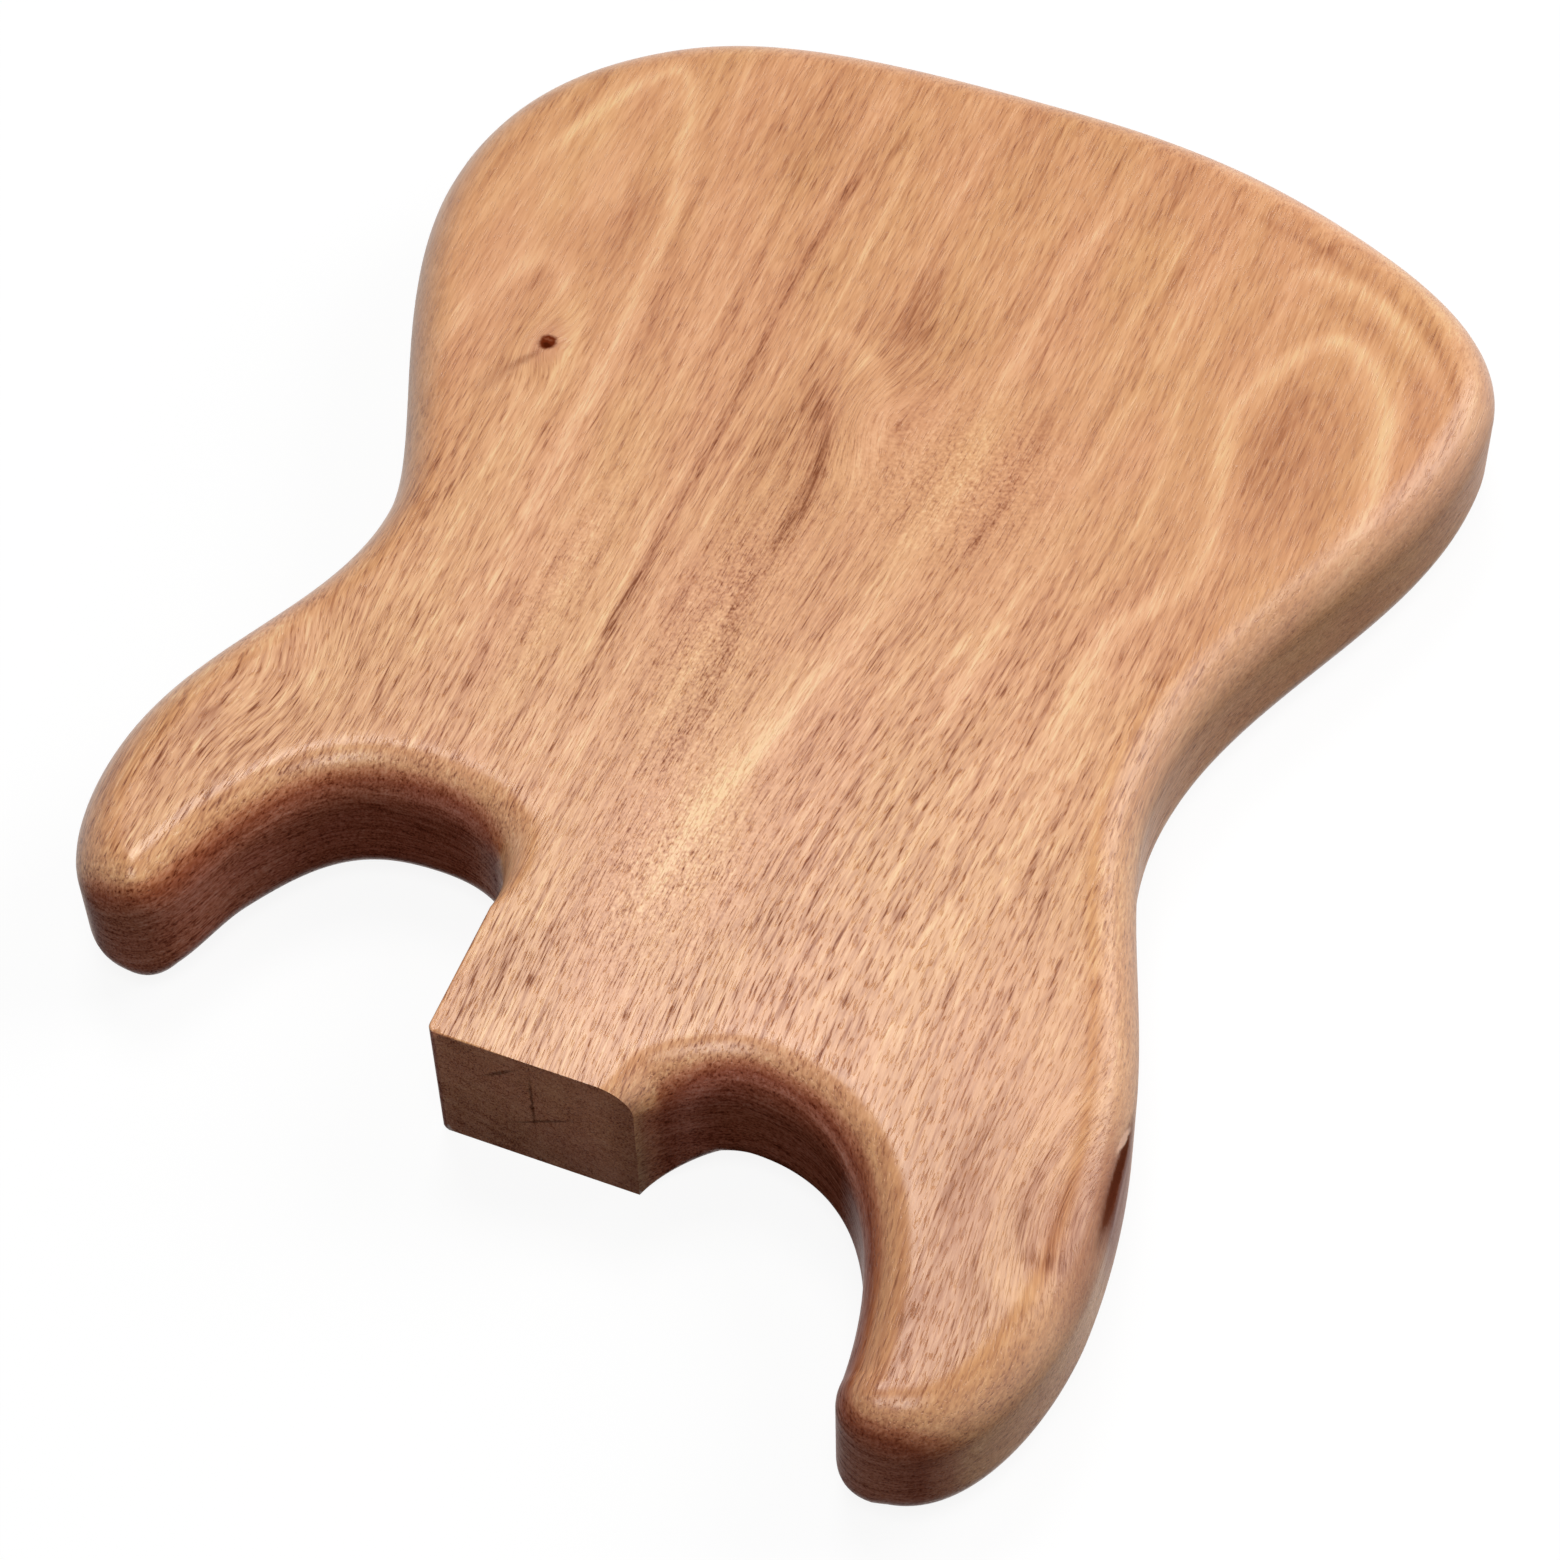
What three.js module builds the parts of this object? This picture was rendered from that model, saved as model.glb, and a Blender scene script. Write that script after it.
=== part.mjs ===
// Electric guitar body: a solid, bare wooden blank with two horns, two cutaways and a full-thickness heel.
// Two boards are edge-glued along the centreline, sawn to the outline and rounded over on both faces.
// The rounding dies out at the heel, which stays square and crisp where the neck meets it.
// Units are millimetres. The front face looks to +Z, the neck end to +Y and the treble side to +X.

import {
  BufferGeometry,
  CubicBezierCurve,
  Float32BufferAttribute,
  Group,
  MathUtils,
  Mesh,
  MeshStandardMaterial,
  ShapeUtils,
  Vector2,
} from "three";

// Blank and glue joint
const body_thickness = 45;
const glue_film = 0.2;

// Heel, whose end face stands square to the centreline
const heel_width = 53;
const heel_reach = 343;
const heel_corner = 2.2;
const heel_side_length = 35.5;

// Round-over of the edges, what is left of it where the bass cutaway breaks out of the heel end,
// and the sanded ease of the edges that stay crisp
const round_over = 12.7;
const breakout_round_over = 8.5;
const crisp_ease = 0.6;

// Treble side of the outline, whose horn and lower bout reach equally far. Centres and reaches are measured
// outward from the glue line, and heights from the tail end. A cutaway is as deep as its floor lies below the
// heel end, a horn is as long as its tip stands above the floor of the cutaway beside it, and its tip is set
// in from the horn's widest place.
const treble_cutaway_centre = 55.5;
const treble_cutaway_depth = 63.5;
const treble_horn_length = 55;
const treble_tip_inset = 20.5;
const treble_nose_width = 11.5;
const treble_nose_drop = 6.5;
const treble_throat_width = 20.5;
const treble_reach = 136.5;
const treble_waist_reach = 104.5;
const treble_waist_height = 197.5;
const treble_bout_height = 87;
const treble_tail_rise = 18;

// Bass side of the outline, measured the same way. Its horn is tucked in from the reach of its lower bout.
const bass_cutaway_centre = 50;
const bass_cutaway_depth = 15.5;
const bass_horn_length = 75.5;
const bass_tip_inset = 33;
const bass_nose_width = 12.5;
const bass_nose_drop = 13.5;
const bass_reach = 155;
const bass_horn_tuck = 12.5;
const bass_waist_reach = 111.5;
const bass_waist_height = 211;
const bass_bout_height = 68;
const bass_tail_rise = 20;

// Widest place of each horn and throat of the treble one, as shares of the horn's length below its tip
const treble_shoulder_share = 0.675;
const treble_throat_share = 0.51;
const bass_shoulder_share = 0.745;

// Place of each tail corner, as a share of the reach of the lower bout on its side
const tail_corner_share = 0.718;

// Share that a round-over may take of the largest circle that fits inside the outline at that place,
// and its growth for each unit along the edge
const room_share = 0.9;
const growth_share = 0.6;

// Headings of the outline in degrees, as it runs from the heel round each side to the tail
const outward = 0;
const tailward = -90;
const inward = -180;
const treble_throat_heading = 60;
const treble_nose_heading = 58;
const treble_tail_heading = -147;
const bass_breakout_heading = -62;
const bass_nose_heading = 89;
const bass_tail_heading = -156;

// Fineness of the facets: degrees turned in one step of the outline, and steps over a quarter round
const turn_per_step = 8;
const quarter_steps = 7;
const probes_per_step = 4;

// Finishes
const treble_wood = { color: 0xd79e74, roughness: 0.45 };
const bass_wood = { color: 0xd39a70, roughness: 0.45 };
const cured_glue = { color: 0xb98459, roughness: 0.4 };

const heel_half = heel_width / 2;
const seam_half = glue_film / 2;
const right_angle = Math.PI / 2;
const treble_floor = heel_reach - treble_cutaway_depth;
const bass_floor = heel_reach - bass_cutaway_depth;
const treble_tip = treble_floor + treble_horn_length;
const bass_tip = bass_floor + bass_horn_length;
const treble_tip_centre = treble_reach - treble_tip_inset;
const bass_horn_reach = bass_reach - bass_horn_tuck;
const bass_tip_centre = bass_horn_reach - bass_tip_inset;

// Nodes of each board's outline. The pull shares are the lengths of the handles before and after the node,
// as shares of the straight way to the neighbouring node. Crisp says that the span after the node keeps its edges.
const treble_nodes = [
  { x: heel_half - heel_corner, y: heel_reach, heading: outward, pull_shares: [0, 0.4], crisp: true },
  { x: heel_half, y: heel_reach - heel_corner, heading: tailward, pull_shares: [0.4, 0.22], crisp: true },
  { x: heel_half, y: heel_reach - heel_corner - heel_side_length, heading: tailward, pull_shares: [0.3, 0.4] },
  { x: treble_cutaway_centre, y: treble_floor, heading: outward, pull_shares: [0.5, 0.4] },
  {
    x: treble_tip_centre - treble_throat_width,
    y: treble_tip - treble_horn_length * treble_throat_share,
    heading: treble_throat_heading,
    pull_shares: [0.5, 0.3],
  },
  {
    x: treble_tip_centre - treble_nose_width,
    y: treble_tip - treble_nose_drop,
    heading: treble_nose_heading,
    pull_shares: [0.3, 0.35],
  },
  { x: treble_tip_centre, y: treble_tip, heading: outward, pull_shares: [0.4, 0.35] },
  {
    x: treble_reach,
    y: treble_tip - treble_horn_length * treble_shoulder_share,
    heading: tailward,
    pull_shares: [0.4, 0.4],
  },
  { x: treble_waist_reach, y: treble_waist_height, heading: tailward, pull_shares: [0.35, 0.2] },
  { x: treble_reach, y: treble_bout_height, heading: tailward, pull_shares: [0.35, 0.43] },
  {
    x: treble_reach * tail_corner_share,
    y: treble_tail_rise,
    heading: treble_tail_heading,
    pull_shares: [0.32, 0.25],
  },
  { x: seam_half, y: 0, heading: inward, pull_shares: [0.5, 0] },
];
const bass_nodes = [
  { x: heel_half, y: heel_reach, heading: bass_breakout_heading, pull_shares: [0, 0.25] },
  { x: bass_cutaway_centre, y: bass_floor, heading: outward, pull_shares: [0.32, 0.55] },
  {
    x: bass_tip_centre - bass_nose_width,
    y: bass_tip - bass_nose_drop,
    heading: bass_nose_heading,
    pull_shares: [0.1, 0.55],
  },
  { x: bass_tip_centre, y: bass_tip, heading: outward, pull_shares: [0.3, 0.38] },
  {
    x: bass_horn_reach,
    y: bass_tip - bass_horn_length * bass_shoulder_share,
    heading: tailward,
    pull_shares: [0.3, 0.47],
  },
  { x: bass_waist_reach, y: bass_waist_height, heading: tailward, pull_shares: [0.28, 0.36] },
  { x: bass_reach, y: bass_bout_height, heading: tailward, pull_shares: [0.35, 0.4] },
  {
    x: bass_reach * tail_corner_share,
    y: bass_tail_rise,
    heading: bass_tail_heading,
    pull_shares: [0.28, 0.43],
  },
  { x: seam_half, y: 0, heading: inward, pull_shares: [0.33, 0] },
];

// Unit vector of a heading in degrees
function direction(heading) {
  const angle = MathUtils.degToRad(heading);
  return new Vector2(Math.cos(angle), Math.sin(angle));
}

// Cubic curve between two outline nodes, leaving and arriving on their headings
function span_between(from, to) {
  const start = new Vector2(from.x, from.y);
  const end = new Vector2(to.x, to.y);
  const chord = start.distanceTo(end);
  const leaving = direction(from.heading).multiplyScalar(chord * from.pull_shares[1]);
  const arriving = direction(to.heading).multiplyScalar(chord * to.pull_shares[0]);
  return new CubicBezierCurve(start, start.clone().add(leaving), end.clone().sub(arriving), end);
}

// Degrees turned from one tangent to the next, positive where a clockwise outline is convex
function turn_between(before, after) {
  return MathUtils.radToDeg(Math.atan2(after.cross(before), before.dot(after)));
}

// Places along a span, closer together where it bends more
function divide(span, from, to) {
  let turned = 0;
  for (let i = 0; i < probes_per_step; i += 1) {
    const here = MathUtils.lerp(from, to, i / probes_per_step);
    const there = MathUtils.lerp(from, to, (i + 1) / probes_per_step);
    turned += Math.abs(turn_between(span.getTangent(here), span.getTangent(there)));
  }
  if (turned <= turn_per_step) {
    return [to];
  }
  const middle = (from + to) / 2;
  return [...divide(span, from, middle), ...divide(span, middle, to)];
}

// Stations along a board's outline, each with its point, its tangent and the ease of its edges
function walk_outline(nodes) {
  const stations = [];
  for (let n = 0; n + 1 < nodes.length; n += 1) {
    const span = span_between(nodes[n], nodes[n + 1]);
    const places = n === 0 ? [0, ...divide(span, 0, 1)] : divide(span, 0, 1);
    for (const place of places) {
      stations.push({ point: span.getPoint(place), tangent: span.getTangent(place), crisp: nodes[n].crisp });
    }
  }
  return stations;
}

// Unit vector square to the outline, pointing into the wood
function into_wood(station) {
  return new Vector2(station.tangent.y, -station.tangent.x);
}

// Radius of the largest circle that fits inside the outline and touches it at one station
function room_at(station, stations) {
  const inward_normal = into_wood(station);
  const radii = stations.map((other) => {
    const reach = other.point.clone().sub(station.point);
    const depth = reach.dot(inward_normal);
    return depth > 0 ? reach.lengthSq() / (2 * depth) : Infinity;
  });
  return Math.min(...radii);
}

// Round-over radius at each station. It starts from the given one at the heel, stays small along crisp spans,
// shrinks round the tight tips of the horns, and grows no faster than the growth share.
function radii_along(stations, start_radius) {
  const radii = stations.map((station) => {
    const wanted = station.crisp ? crisp_ease : round_over;
    return Math.min(wanted, room_share * room_at(station, stations));
  });
  radii[0] = start_radius;
  const grown = (from, to) => radii[from] + growth_share * stations[from].point.distanceTo(stations[to].point);
  for (let i = 1; i < radii.length; i += 1) {
    radii[i] = Math.min(radii[i], grown(i - 1, i));
  }
  for (let i = radii.length - 2; i > 0; i -= 1) {
    radii[i] = Math.min(radii[i], grown(i + 1, i));
  }
  return radii;
}

// Edge section from the back face, up the wall, to the front face, as insets and heights
function edge_section(back_radius, front_radius) {
  const angles = Array.from({ length: quarter_steps + 1 }, (_, i) => (right_angle * i) / quarter_steps);
  const back = angles.map((angle) => ({
    inset: back_radius * (1 - Math.sin(angle)),
    height: back_radius * (1 - Math.cos(angle)),
  }));
  const front = angles.map((angle) => ({
    inset: front_radius * (1 - Math.cos(angle)),
    height: body_thickness - front_radius * (1 - Math.sin(angle)),
  }));
  return [...back, ...front];
}

// Section placed square to the outline at a station
function ring_at(station, section) {
  return section.map(({ inset, height }) => {
    const place = station.point.clone().addScaledVector(into_wood(station), inset);
    return [place.x, place.y, height];
  });
}

// Section at the first station, run on along the outline until it meets the flat heel end
function breakout_ring(station, section) {
  return section.map(({ inset, height }) => {
    const place = station.point.clone().addScaledVector(into_wood(station), inset);
    const run = inset > 0 ? (heel_reach - place.y) / station.tangent.y : 0;
    return [place.x + station.tangent.x * run, heel_reach, height];
  });
}

// Triangles of a flat loop of corners in the two axes given, facing the way that those axes turn
function cap(loop, across, along) {
  const faces = ShapeUtils.triangulateShape(loop.map((corner) => new Vector2(corner[across], corner[along])), []);
  return faces.map((face) => face.map((index) => loop[index]));
}

// Loop without the corners that fall on the one before
function without_repeats(loop) {
  return loop.filter((corner, i) => corner.join() !== loop[(i + loop.length - 1) % loop.length].join());
}

// Triangles of a band between two rows of corners, left open or run round to its start
function band(low, high, is_round) {
  const faces = [];
  const count = is_round ? low.length : low.length - 1;
  for (let i = 0; i < count; i += 1) {
    const next = (i + 1) % low.length;
    faces.push([low[i], low[next], high[next]]);
    faces.push([low[i], high[next], high[i]]);
  }
  return faces.filter((face) => new Set(face.map(String)).size === 3);
}

// Same triangles, facing the other way
function turned_over(faces) {
  return faces.map(([a, b, c]) => [a, c, b]);
}

// Geometry of a closed list of triangles
function closed_geometry(faces) {
  const geometry = new BufferGeometry();
  geometry.setAttribute("position", new Float32BufferAttribute(faces.flat(2), 3));
  geometry.computeVertexNormals();
  return geometry;
}

// Triangles of one board, laid out on the treble side. Its edge is lofted along the outline, and flat faces
// close the front, the back, the glue joint and the heel end.
function board_faces(nodes, front_start, back_start) {
  const stations = walk_outline(nodes);
  const front = radii_along(stations, front_start);
  const back = radii_along(stations, back_start);
  const rings = stations.map((station, i) => {
    const section = edge_section(back[i], front[i]);
    return i === 0 ? breakout_ring(station, section) : ring_at(station, section);
  });
  const heel_ring = rings[0];
  const tail_ring = rings[rings.length - 1].map(([, y, z]) => [seam_half, y, z]);
  rings[rings.length - 1] = tail_ring;
  const seam_top = [seam_half, heel_reach, body_thickness];
  const seam_foot = [seam_half, heel_reach, 0];
  const edge = rings.slice(1).flatMap((ring, i) => band(rings[i], ring, false));
  const front_loop = rings.map((ring) => ring[ring.length - 1]);
  const back_loop = rings.map((ring) => ring[0]);
  return [
    ...edge,
    ...cap([...front_loop, seam_top], 0, 1),
    ...turned_over(cap([...back_loop, seam_foot], 0, 1)),
    ...turned_over(cap(without_repeats([...tail_ring, seam_top, seam_foot]), 1, 2)),
    ...turned_over(cap(without_repeats([...heel_ring, seam_top, seam_foot]), 0, 2)),
  ];
}

// Film of cured glue between the boards, cut to the outline of their glue faces
function glue_faces() {
  const section = edge_section(round_over, round_over).map(({ inset, height }) => [inset, height]);
  const outline = [...section, [heel_reach, body_thickness], [heel_reach, 0]];
  const bass_loop = outline.map(([y, z]) => [-seam_half, y, z]);
  const treble_loop = outline.map(([y, z]) => [seam_half, y, z]);
  return [
    ...turned_over(band(bass_loop, treble_loop, true)),
    ...turned_over(cap(bass_loop, 1, 2)),
    ...cap(treble_loop, 1, 2),
  ];
}

// Board on the other side of the glue line
function mirrored(faces) {
  return turned_over(faces).map((face) => face.map(([x, y, z]) => [-x, y, z]));
}

// Named piece with its own finish
function piece(name, faces, finish) {
  const mesh = new Mesh(closed_geometry(faces), new MeshStandardMaterial({ ...finish, metalness: 0 }));
  mesh.name = name;
  return mesh;
}

const body = new Group();
body.add(piece("treble_board", board_faces(treble_nodes, 0, 0), treble_wood));
body.add(piece("bass_board", mirrored(board_faces(bass_nodes, breakout_round_over, 0)), bass_wood));
body.add(piece("glue_line", glue_faces(), cured_glue));

// Origin in the middle of the box, on the back face
body.position.set((bass_reach - treble_reach) / 2, -bass_tip / 2, 0);

export default body;
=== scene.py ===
"""Electric guitar body: two mahogany boards edge-glued along the centreline, sawn out, rounded over and oiled.

The fixed frame is loaded first. Each board is then made again as a fine numpy surface in the place of its solid,
with the run of its grain kept on the mesh, and is dressed as sanded and oiled wood. Sizes are in millimetres in
the sheet of the glue line: x runs outward from the glue line, y up from the tail end and z up from the back face.
"""

import logging
import math
from dataclasses import dataclass, field
from enum import Enum
from typing import Any

import bmesh
import bpy
import numpy as np
from mathutils import Matrix, Vector
from mathutils.geometry import delaunay_2d_cdt


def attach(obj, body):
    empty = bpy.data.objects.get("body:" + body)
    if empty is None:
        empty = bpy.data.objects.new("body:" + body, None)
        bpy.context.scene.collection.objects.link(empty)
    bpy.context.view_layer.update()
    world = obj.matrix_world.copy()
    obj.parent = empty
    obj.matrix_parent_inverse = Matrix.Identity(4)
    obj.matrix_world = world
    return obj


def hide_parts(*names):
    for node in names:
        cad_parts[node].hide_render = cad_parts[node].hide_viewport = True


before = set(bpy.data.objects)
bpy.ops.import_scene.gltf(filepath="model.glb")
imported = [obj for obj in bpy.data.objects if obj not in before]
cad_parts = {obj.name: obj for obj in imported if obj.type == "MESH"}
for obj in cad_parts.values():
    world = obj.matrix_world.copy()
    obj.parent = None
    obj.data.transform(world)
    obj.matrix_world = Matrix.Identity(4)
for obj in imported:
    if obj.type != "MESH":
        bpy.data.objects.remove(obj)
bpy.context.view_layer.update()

log = logging.getLogger("guitar_body")

Tree = bpy.types.NodeTree
Socket = bpy.types.NodeSocket
Steps = tuple[tuple[float, str], ...]
Span = tuple[float, float]

MM = 0.001
IMAGE_SIDE = 1560
SENSOR_WIDTH = 36.0
BODY = "root"
TINY = 1e-9


class Side(Enum):
    """Side of the glue line, as the sign of x: the short horn is on the treble side."""

    TREBLE = 1
    BASS = -1


class Heading(Enum):
    """Headings of the outline in degrees that more than one node has."""

    OUTWARD = 0.0
    TAILWARD = -90.0
    INWARD = -180.0


# Blank: the size that both boards and the glue share
THICKNESS = 45.0
GLUE_FILM = 0.2
HEEL_WIDTH = 53.0
HEEL_REACH = 343.0
ROUND_OVER = 12.7


def linear(code: str) -> tuple[float, float, float, float]:
    """Turns an sRGB hex colour to the linear values that shaders take.

    Args:
        code: The colour as six hex digits.

    Returns:
        Red, green, blue and an alpha of one.
    """
    channels = [int(code[i : i + 2], 16) / 255 for i in (0, 2, 4)]
    return (*(c / 12.92 if c <= 0.04045 else ((c + 0.055) / 1.055) ** 2.4 for c in channels), 1.0)


def add_node(tree: Tree, kind: str, inputs: dict | None = None, **settings: Any) -> bpy.types.Node:
    """Adds a node with its settings and links.

    Args:
        tree: The node tree.
        kind: The node's type.
        inputs: Socket name or number to a value, or to the output socket that feeds it.
        settings: The node's own properties.

    Returns:
        The new node.
    """
    node = tree.nodes.new(kind)
    for name, value in settings.items():
        setattr(node, name, value)
    for key, value in (inputs or {}).items():
        if isinstance(value, bpy.types.NodeSocket):
            tree.links.new(value, node.inputs[key])
        else:
            node.inputs[key].default_value = value
    return node


def empty_tree(owner: bpy.types.ID) -> Tree:
    """Turns on the nodes of a material or of the world, clears them, and returns their tree."""
    owner.use_nodes = True
    owner.node_tree.nodes.clear()
    return owner.node_tree


def attribute(tree: Tree, name: str) -> Socket:
    """Socket with the number that the mesh keeps under a name."""
    return add_node(tree, "ShaderNodeAttribute", attribute_name=name).outputs["Fac"]


def maths(tree: Tree, operation: str, *values: Any, clamp: bool = False) -> Socket:
    """Socket with the result of an operation on numbers or sockets."""
    inputs = dict(enumerate(values))
    return add_node(tree, "ShaderNodeMath", inputs, operation=operation, use_clamp=clamp).outputs[0]


def vector_maths(tree: Tree, operation: str, *values: Any) -> Socket:
    """Socket with the result of an operation on places."""
    return add_node(tree, "ShaderNodeVectorMath", dict(enumerate(values)), operation=operation).outputs[0]


def blend(tree: Tree, share: Any, first: Any, second: Any, kind: str = "MIX") -> Socket:
    """Socket with the first colour, blended with the second by a share from zero to one."""
    inputs = {0: share, 6: first, 7: second}
    return add_node(tree, "ShaderNodeMix", inputs, data_type="RGBA", blend_type=kind).outputs[2]


def mapped(tree: Tree, value: Socket, source: Span, result: Span = (0.0, 1.0), kind: str = "LINEAR") -> Socket:
    """Socket with a value that is carried from the source span to the result's, and held at its ends."""
    ends = {"From Min": source[0], "From Max": source[1], "To Min": result[0], "To Max": result[1]}
    return add_node(tree, "ShaderNodeMapRange", {"Value": value, **ends}, interpolation_type=kind).outputs[0]


def ramp(tree: Tree, value: Socket, steps: Steps) -> Socket:
    """Turns a value into a colour.

    Args:
        tree: The node tree.
        value: Socket with the value.
        steps: Values in rising order, each with its hex colour.

    Returns:
        The socket with the colour.
    """
    made = add_node(tree, "ShaderNodeValToRGB", {"Fac": value})
    elements = made.color_ramp.elements
    for element, (at, code) in zip(elements, (steps[0], steps[-1])):
        element.position, element.color = at, linear(code)
    for at, code in steps[1:-1]:
        elements.new(at).color = linear(code)
    return made.outputs["Color"]


def weighed(tree: Tree, base: Any, parts: list[tuple[Socket, float]]) -> Socket:
    """Adds parts that lie about one half to a base, each less one half and times its weight.

    Args:
        tree: The node tree.
        base: Number or socket that the parts are added to.
        parts: Each part's socket and weight.

    Returns:
        The socket with the sum.
    """
    total = base
    for part, weight in parts:
        total = maths(tree, "MULTIPLY_ADD", maths(tree, "SUBTRACT", part, 0.5), weight, total)
    return total


def batches(values: np.ndarray, size: int = 2000) -> list[np.ndarray]:
    """Splits an array into batches of about a size, to spare memory."""
    return np.array_split(values, max(1, len(values) // size))


def read_numbers(source: Any, name: str, width: int, kind: type = np.float32) -> np.ndarray:
    """Reads a property of all of a mesh's vertices, normals or corners, as rows of the width."""
    numbers = np.empty(len(source) * width, dtype=kind)
    source.foreach_get(name, numbers)
    return numbers.reshape(-1, width)


def keep_attribute(mesh: bpy.types.Mesh, name: str, values: np.ndarray, domain: str = "POINT") -> None:
    """Keeps one number for each vertex or corner on the mesh under a name."""
    made = mesh.attributes.new(name, "FLOAT", domain)
    made.data.foreach_set("value", values.astype(np.float32))


def put_in_scene(name: str, data: bpy.types.ID) -> bpy.types.Object:
    """Makes an object of a mesh, lamp or camera, puts it in the scene, and returns it."""
    made = bpy.data.objects.new(name, data)
    bpy.context.scene.collection.objects.link(made)
    return made


def placed(mesh: bpy.types.Mesh, node: str) -> bpy.types.Object:
    """Makes the piece of a mesh, lets it ride on the body and lets it stand for its node.

    Args:
        mesh: The piece's mesh.
        node: Name of the node that it stands for.

    Returns:
        The piece.
    """
    piece = put_in_scene(node + "_fine", mesh)
    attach(piece, BODY)
    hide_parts(node)
    return piece


def towards(azimuth: float, elevation: float) -> Vector:
    """Unit vector by bearing and height angle in degrees: bearing zero is along -Y, and 90 along +X."""
    a, e = math.radians(azimuth), math.radians(elevation)
    return Vector((math.sin(a) * math.cos(e), -math.cos(a) * math.cos(e), math.sin(e)))


def quarter_round(steps: int) -> tuple[np.ndarray, np.ndarray]:
    """Inset 1 - sin a and rise 1 - cos a along a quarter round of radius one, from the flat face to the wall."""
    a = np.linspace(0, math.pi / 2, steps + 1)
    return 1 - np.sin(a), 1 - np.cos(a)


def soft_ramp(value: np.ndarray, width: float) -> np.ndarray:
    """Ramp that is flat below zero and climbs one for one above it, rounded over the width."""
    return (value + np.sqrt(value**2 + width**2)) / 2


def soft_step(value: np.ndarray, width: float) -> np.ndarray:
    """Step from zero to one at zero, rounded over the width."""
    return (1 + np.tanh(value / width)) / 2


@dataclass(frozen=True)
class OutlineNode:
    """Point of a board's outline, with its heading and the pull of the curve before and after it.

    The pulls are the lengths of the handles, as shares of the straight way to the neighbouring node.
    """

    x: float
    y: float
    heading: float
    pull_before: float
    pull_after: float
    crisp: bool = False

    def direction(self) -> np.ndarray:
        """Unit vector of the heading."""
        angle = math.radians(self.heading)
        return np.array([math.cos(angle), math.sin(angle)])


@dataclass
class Stations:
    """Places along an outline: points, tangents, way run so far, and which of them keep crisp edges."""

    points: np.ndarray
    tangents: np.ndarray
    run: np.ndarray
    crisp: np.ndarray

    def into_wood(self) -> np.ndarray:
        """Unit vectors square to the outline, pointing into the wood."""
        return np.stack([self.tangents[:, 1], -self.tangents[:, 0]], axis=1)

    def room(self) -> np.ndarray:
        """Radius of the largest circle inside the outline that touches it at each station.

        A circle that touches at P with the inward normal n and passes through Q has the radius
        |Q - P| squared over twice the dot product of Q - P and n. The smallest of them is the room.

        Returns:
            The radii in mm.
        """
        least = 1e-6
        reach = self.points[None, :, :] - self.points[:, None, :]
        depth = np.einsum("ijk,ik->ij", reach, self.into_wood())
        squared = np.einsum("ijk,ijk->ij", reach, reach)
        return np.where(depth > least, squared / np.maximum(2 * depth, least), np.inf).min(axis=1)


def walk_outline(nodes: list[OutlineNode], spacing: float, samples: int = 400) -> Stations:
    """Walks the cubic curves between the nodes in even steps.

    Each span is P(t) = (1-t)^3 A + 3 (1-t)^2 t B + 3 (1-t) t^2 C + t^3 D, where B and C lie along the headings
    of the nodes A and D. It is sampled finely and then at even lengths.

    Args:
        nodes: The outline's nodes, in order.
        spacing: Way between stations.
        samples: Number of fine samples on a span.

    Returns:
        The stations from the first node to the last.
    """
    points, tangents, crisp = [], [], []
    t = np.linspace(0, 1, samples)[:, None]
    for start, end in zip(nodes, nodes[1:]):
        a, d = np.array([start.x, start.y]), np.array([end.x, end.y])
        chord = np.linalg.norm(d - a)
        b = a + start.direction() * chord * start.pull_after
        c = d - end.direction() * chord * end.pull_before
        curve = (1 - t) ** 3 * a + 3 * (1 - t) ** 2 * t * b + 3 * (1 - t) * t**2 * c + t**3 * d
        run = np.concatenate([[0], np.cumsum(np.linalg.norm(np.diff(curve, axis=0), axis=1))])
        count = max(3, math.ceil(run[-1] / spacing))
        even = np.interp(np.linspace(0, run[-1], count + 1), run, t[:, 0])[:, None]
        if points:
            even = even[1:]
        s = 1 - even
        points.append(s**3 * a + 3 * s**2 * even * b + 3 * s * even**2 * c + even**3 * d)
        slope = s**2 * (b - a) + 2 * s * even * (c - b) + even**2 * (d - c)
        flat = np.linalg.norm(slope, axis=1) < TINY
        slope[flat] = np.where(even[flat] < 0.5, start.direction(), end.direction())
        tangents.append(slope / np.linalg.norm(slope, axis=1)[:, None])
        crisp.append(np.full(len(even), start.crisp))
    places = np.concatenate(points)
    way = np.concatenate([[0], np.cumsum(np.linalg.norm(np.diff(places, axis=0), axis=1))])
    return Stations(places, np.concatenate(tangents), way, np.concatenate(crisp))


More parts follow.
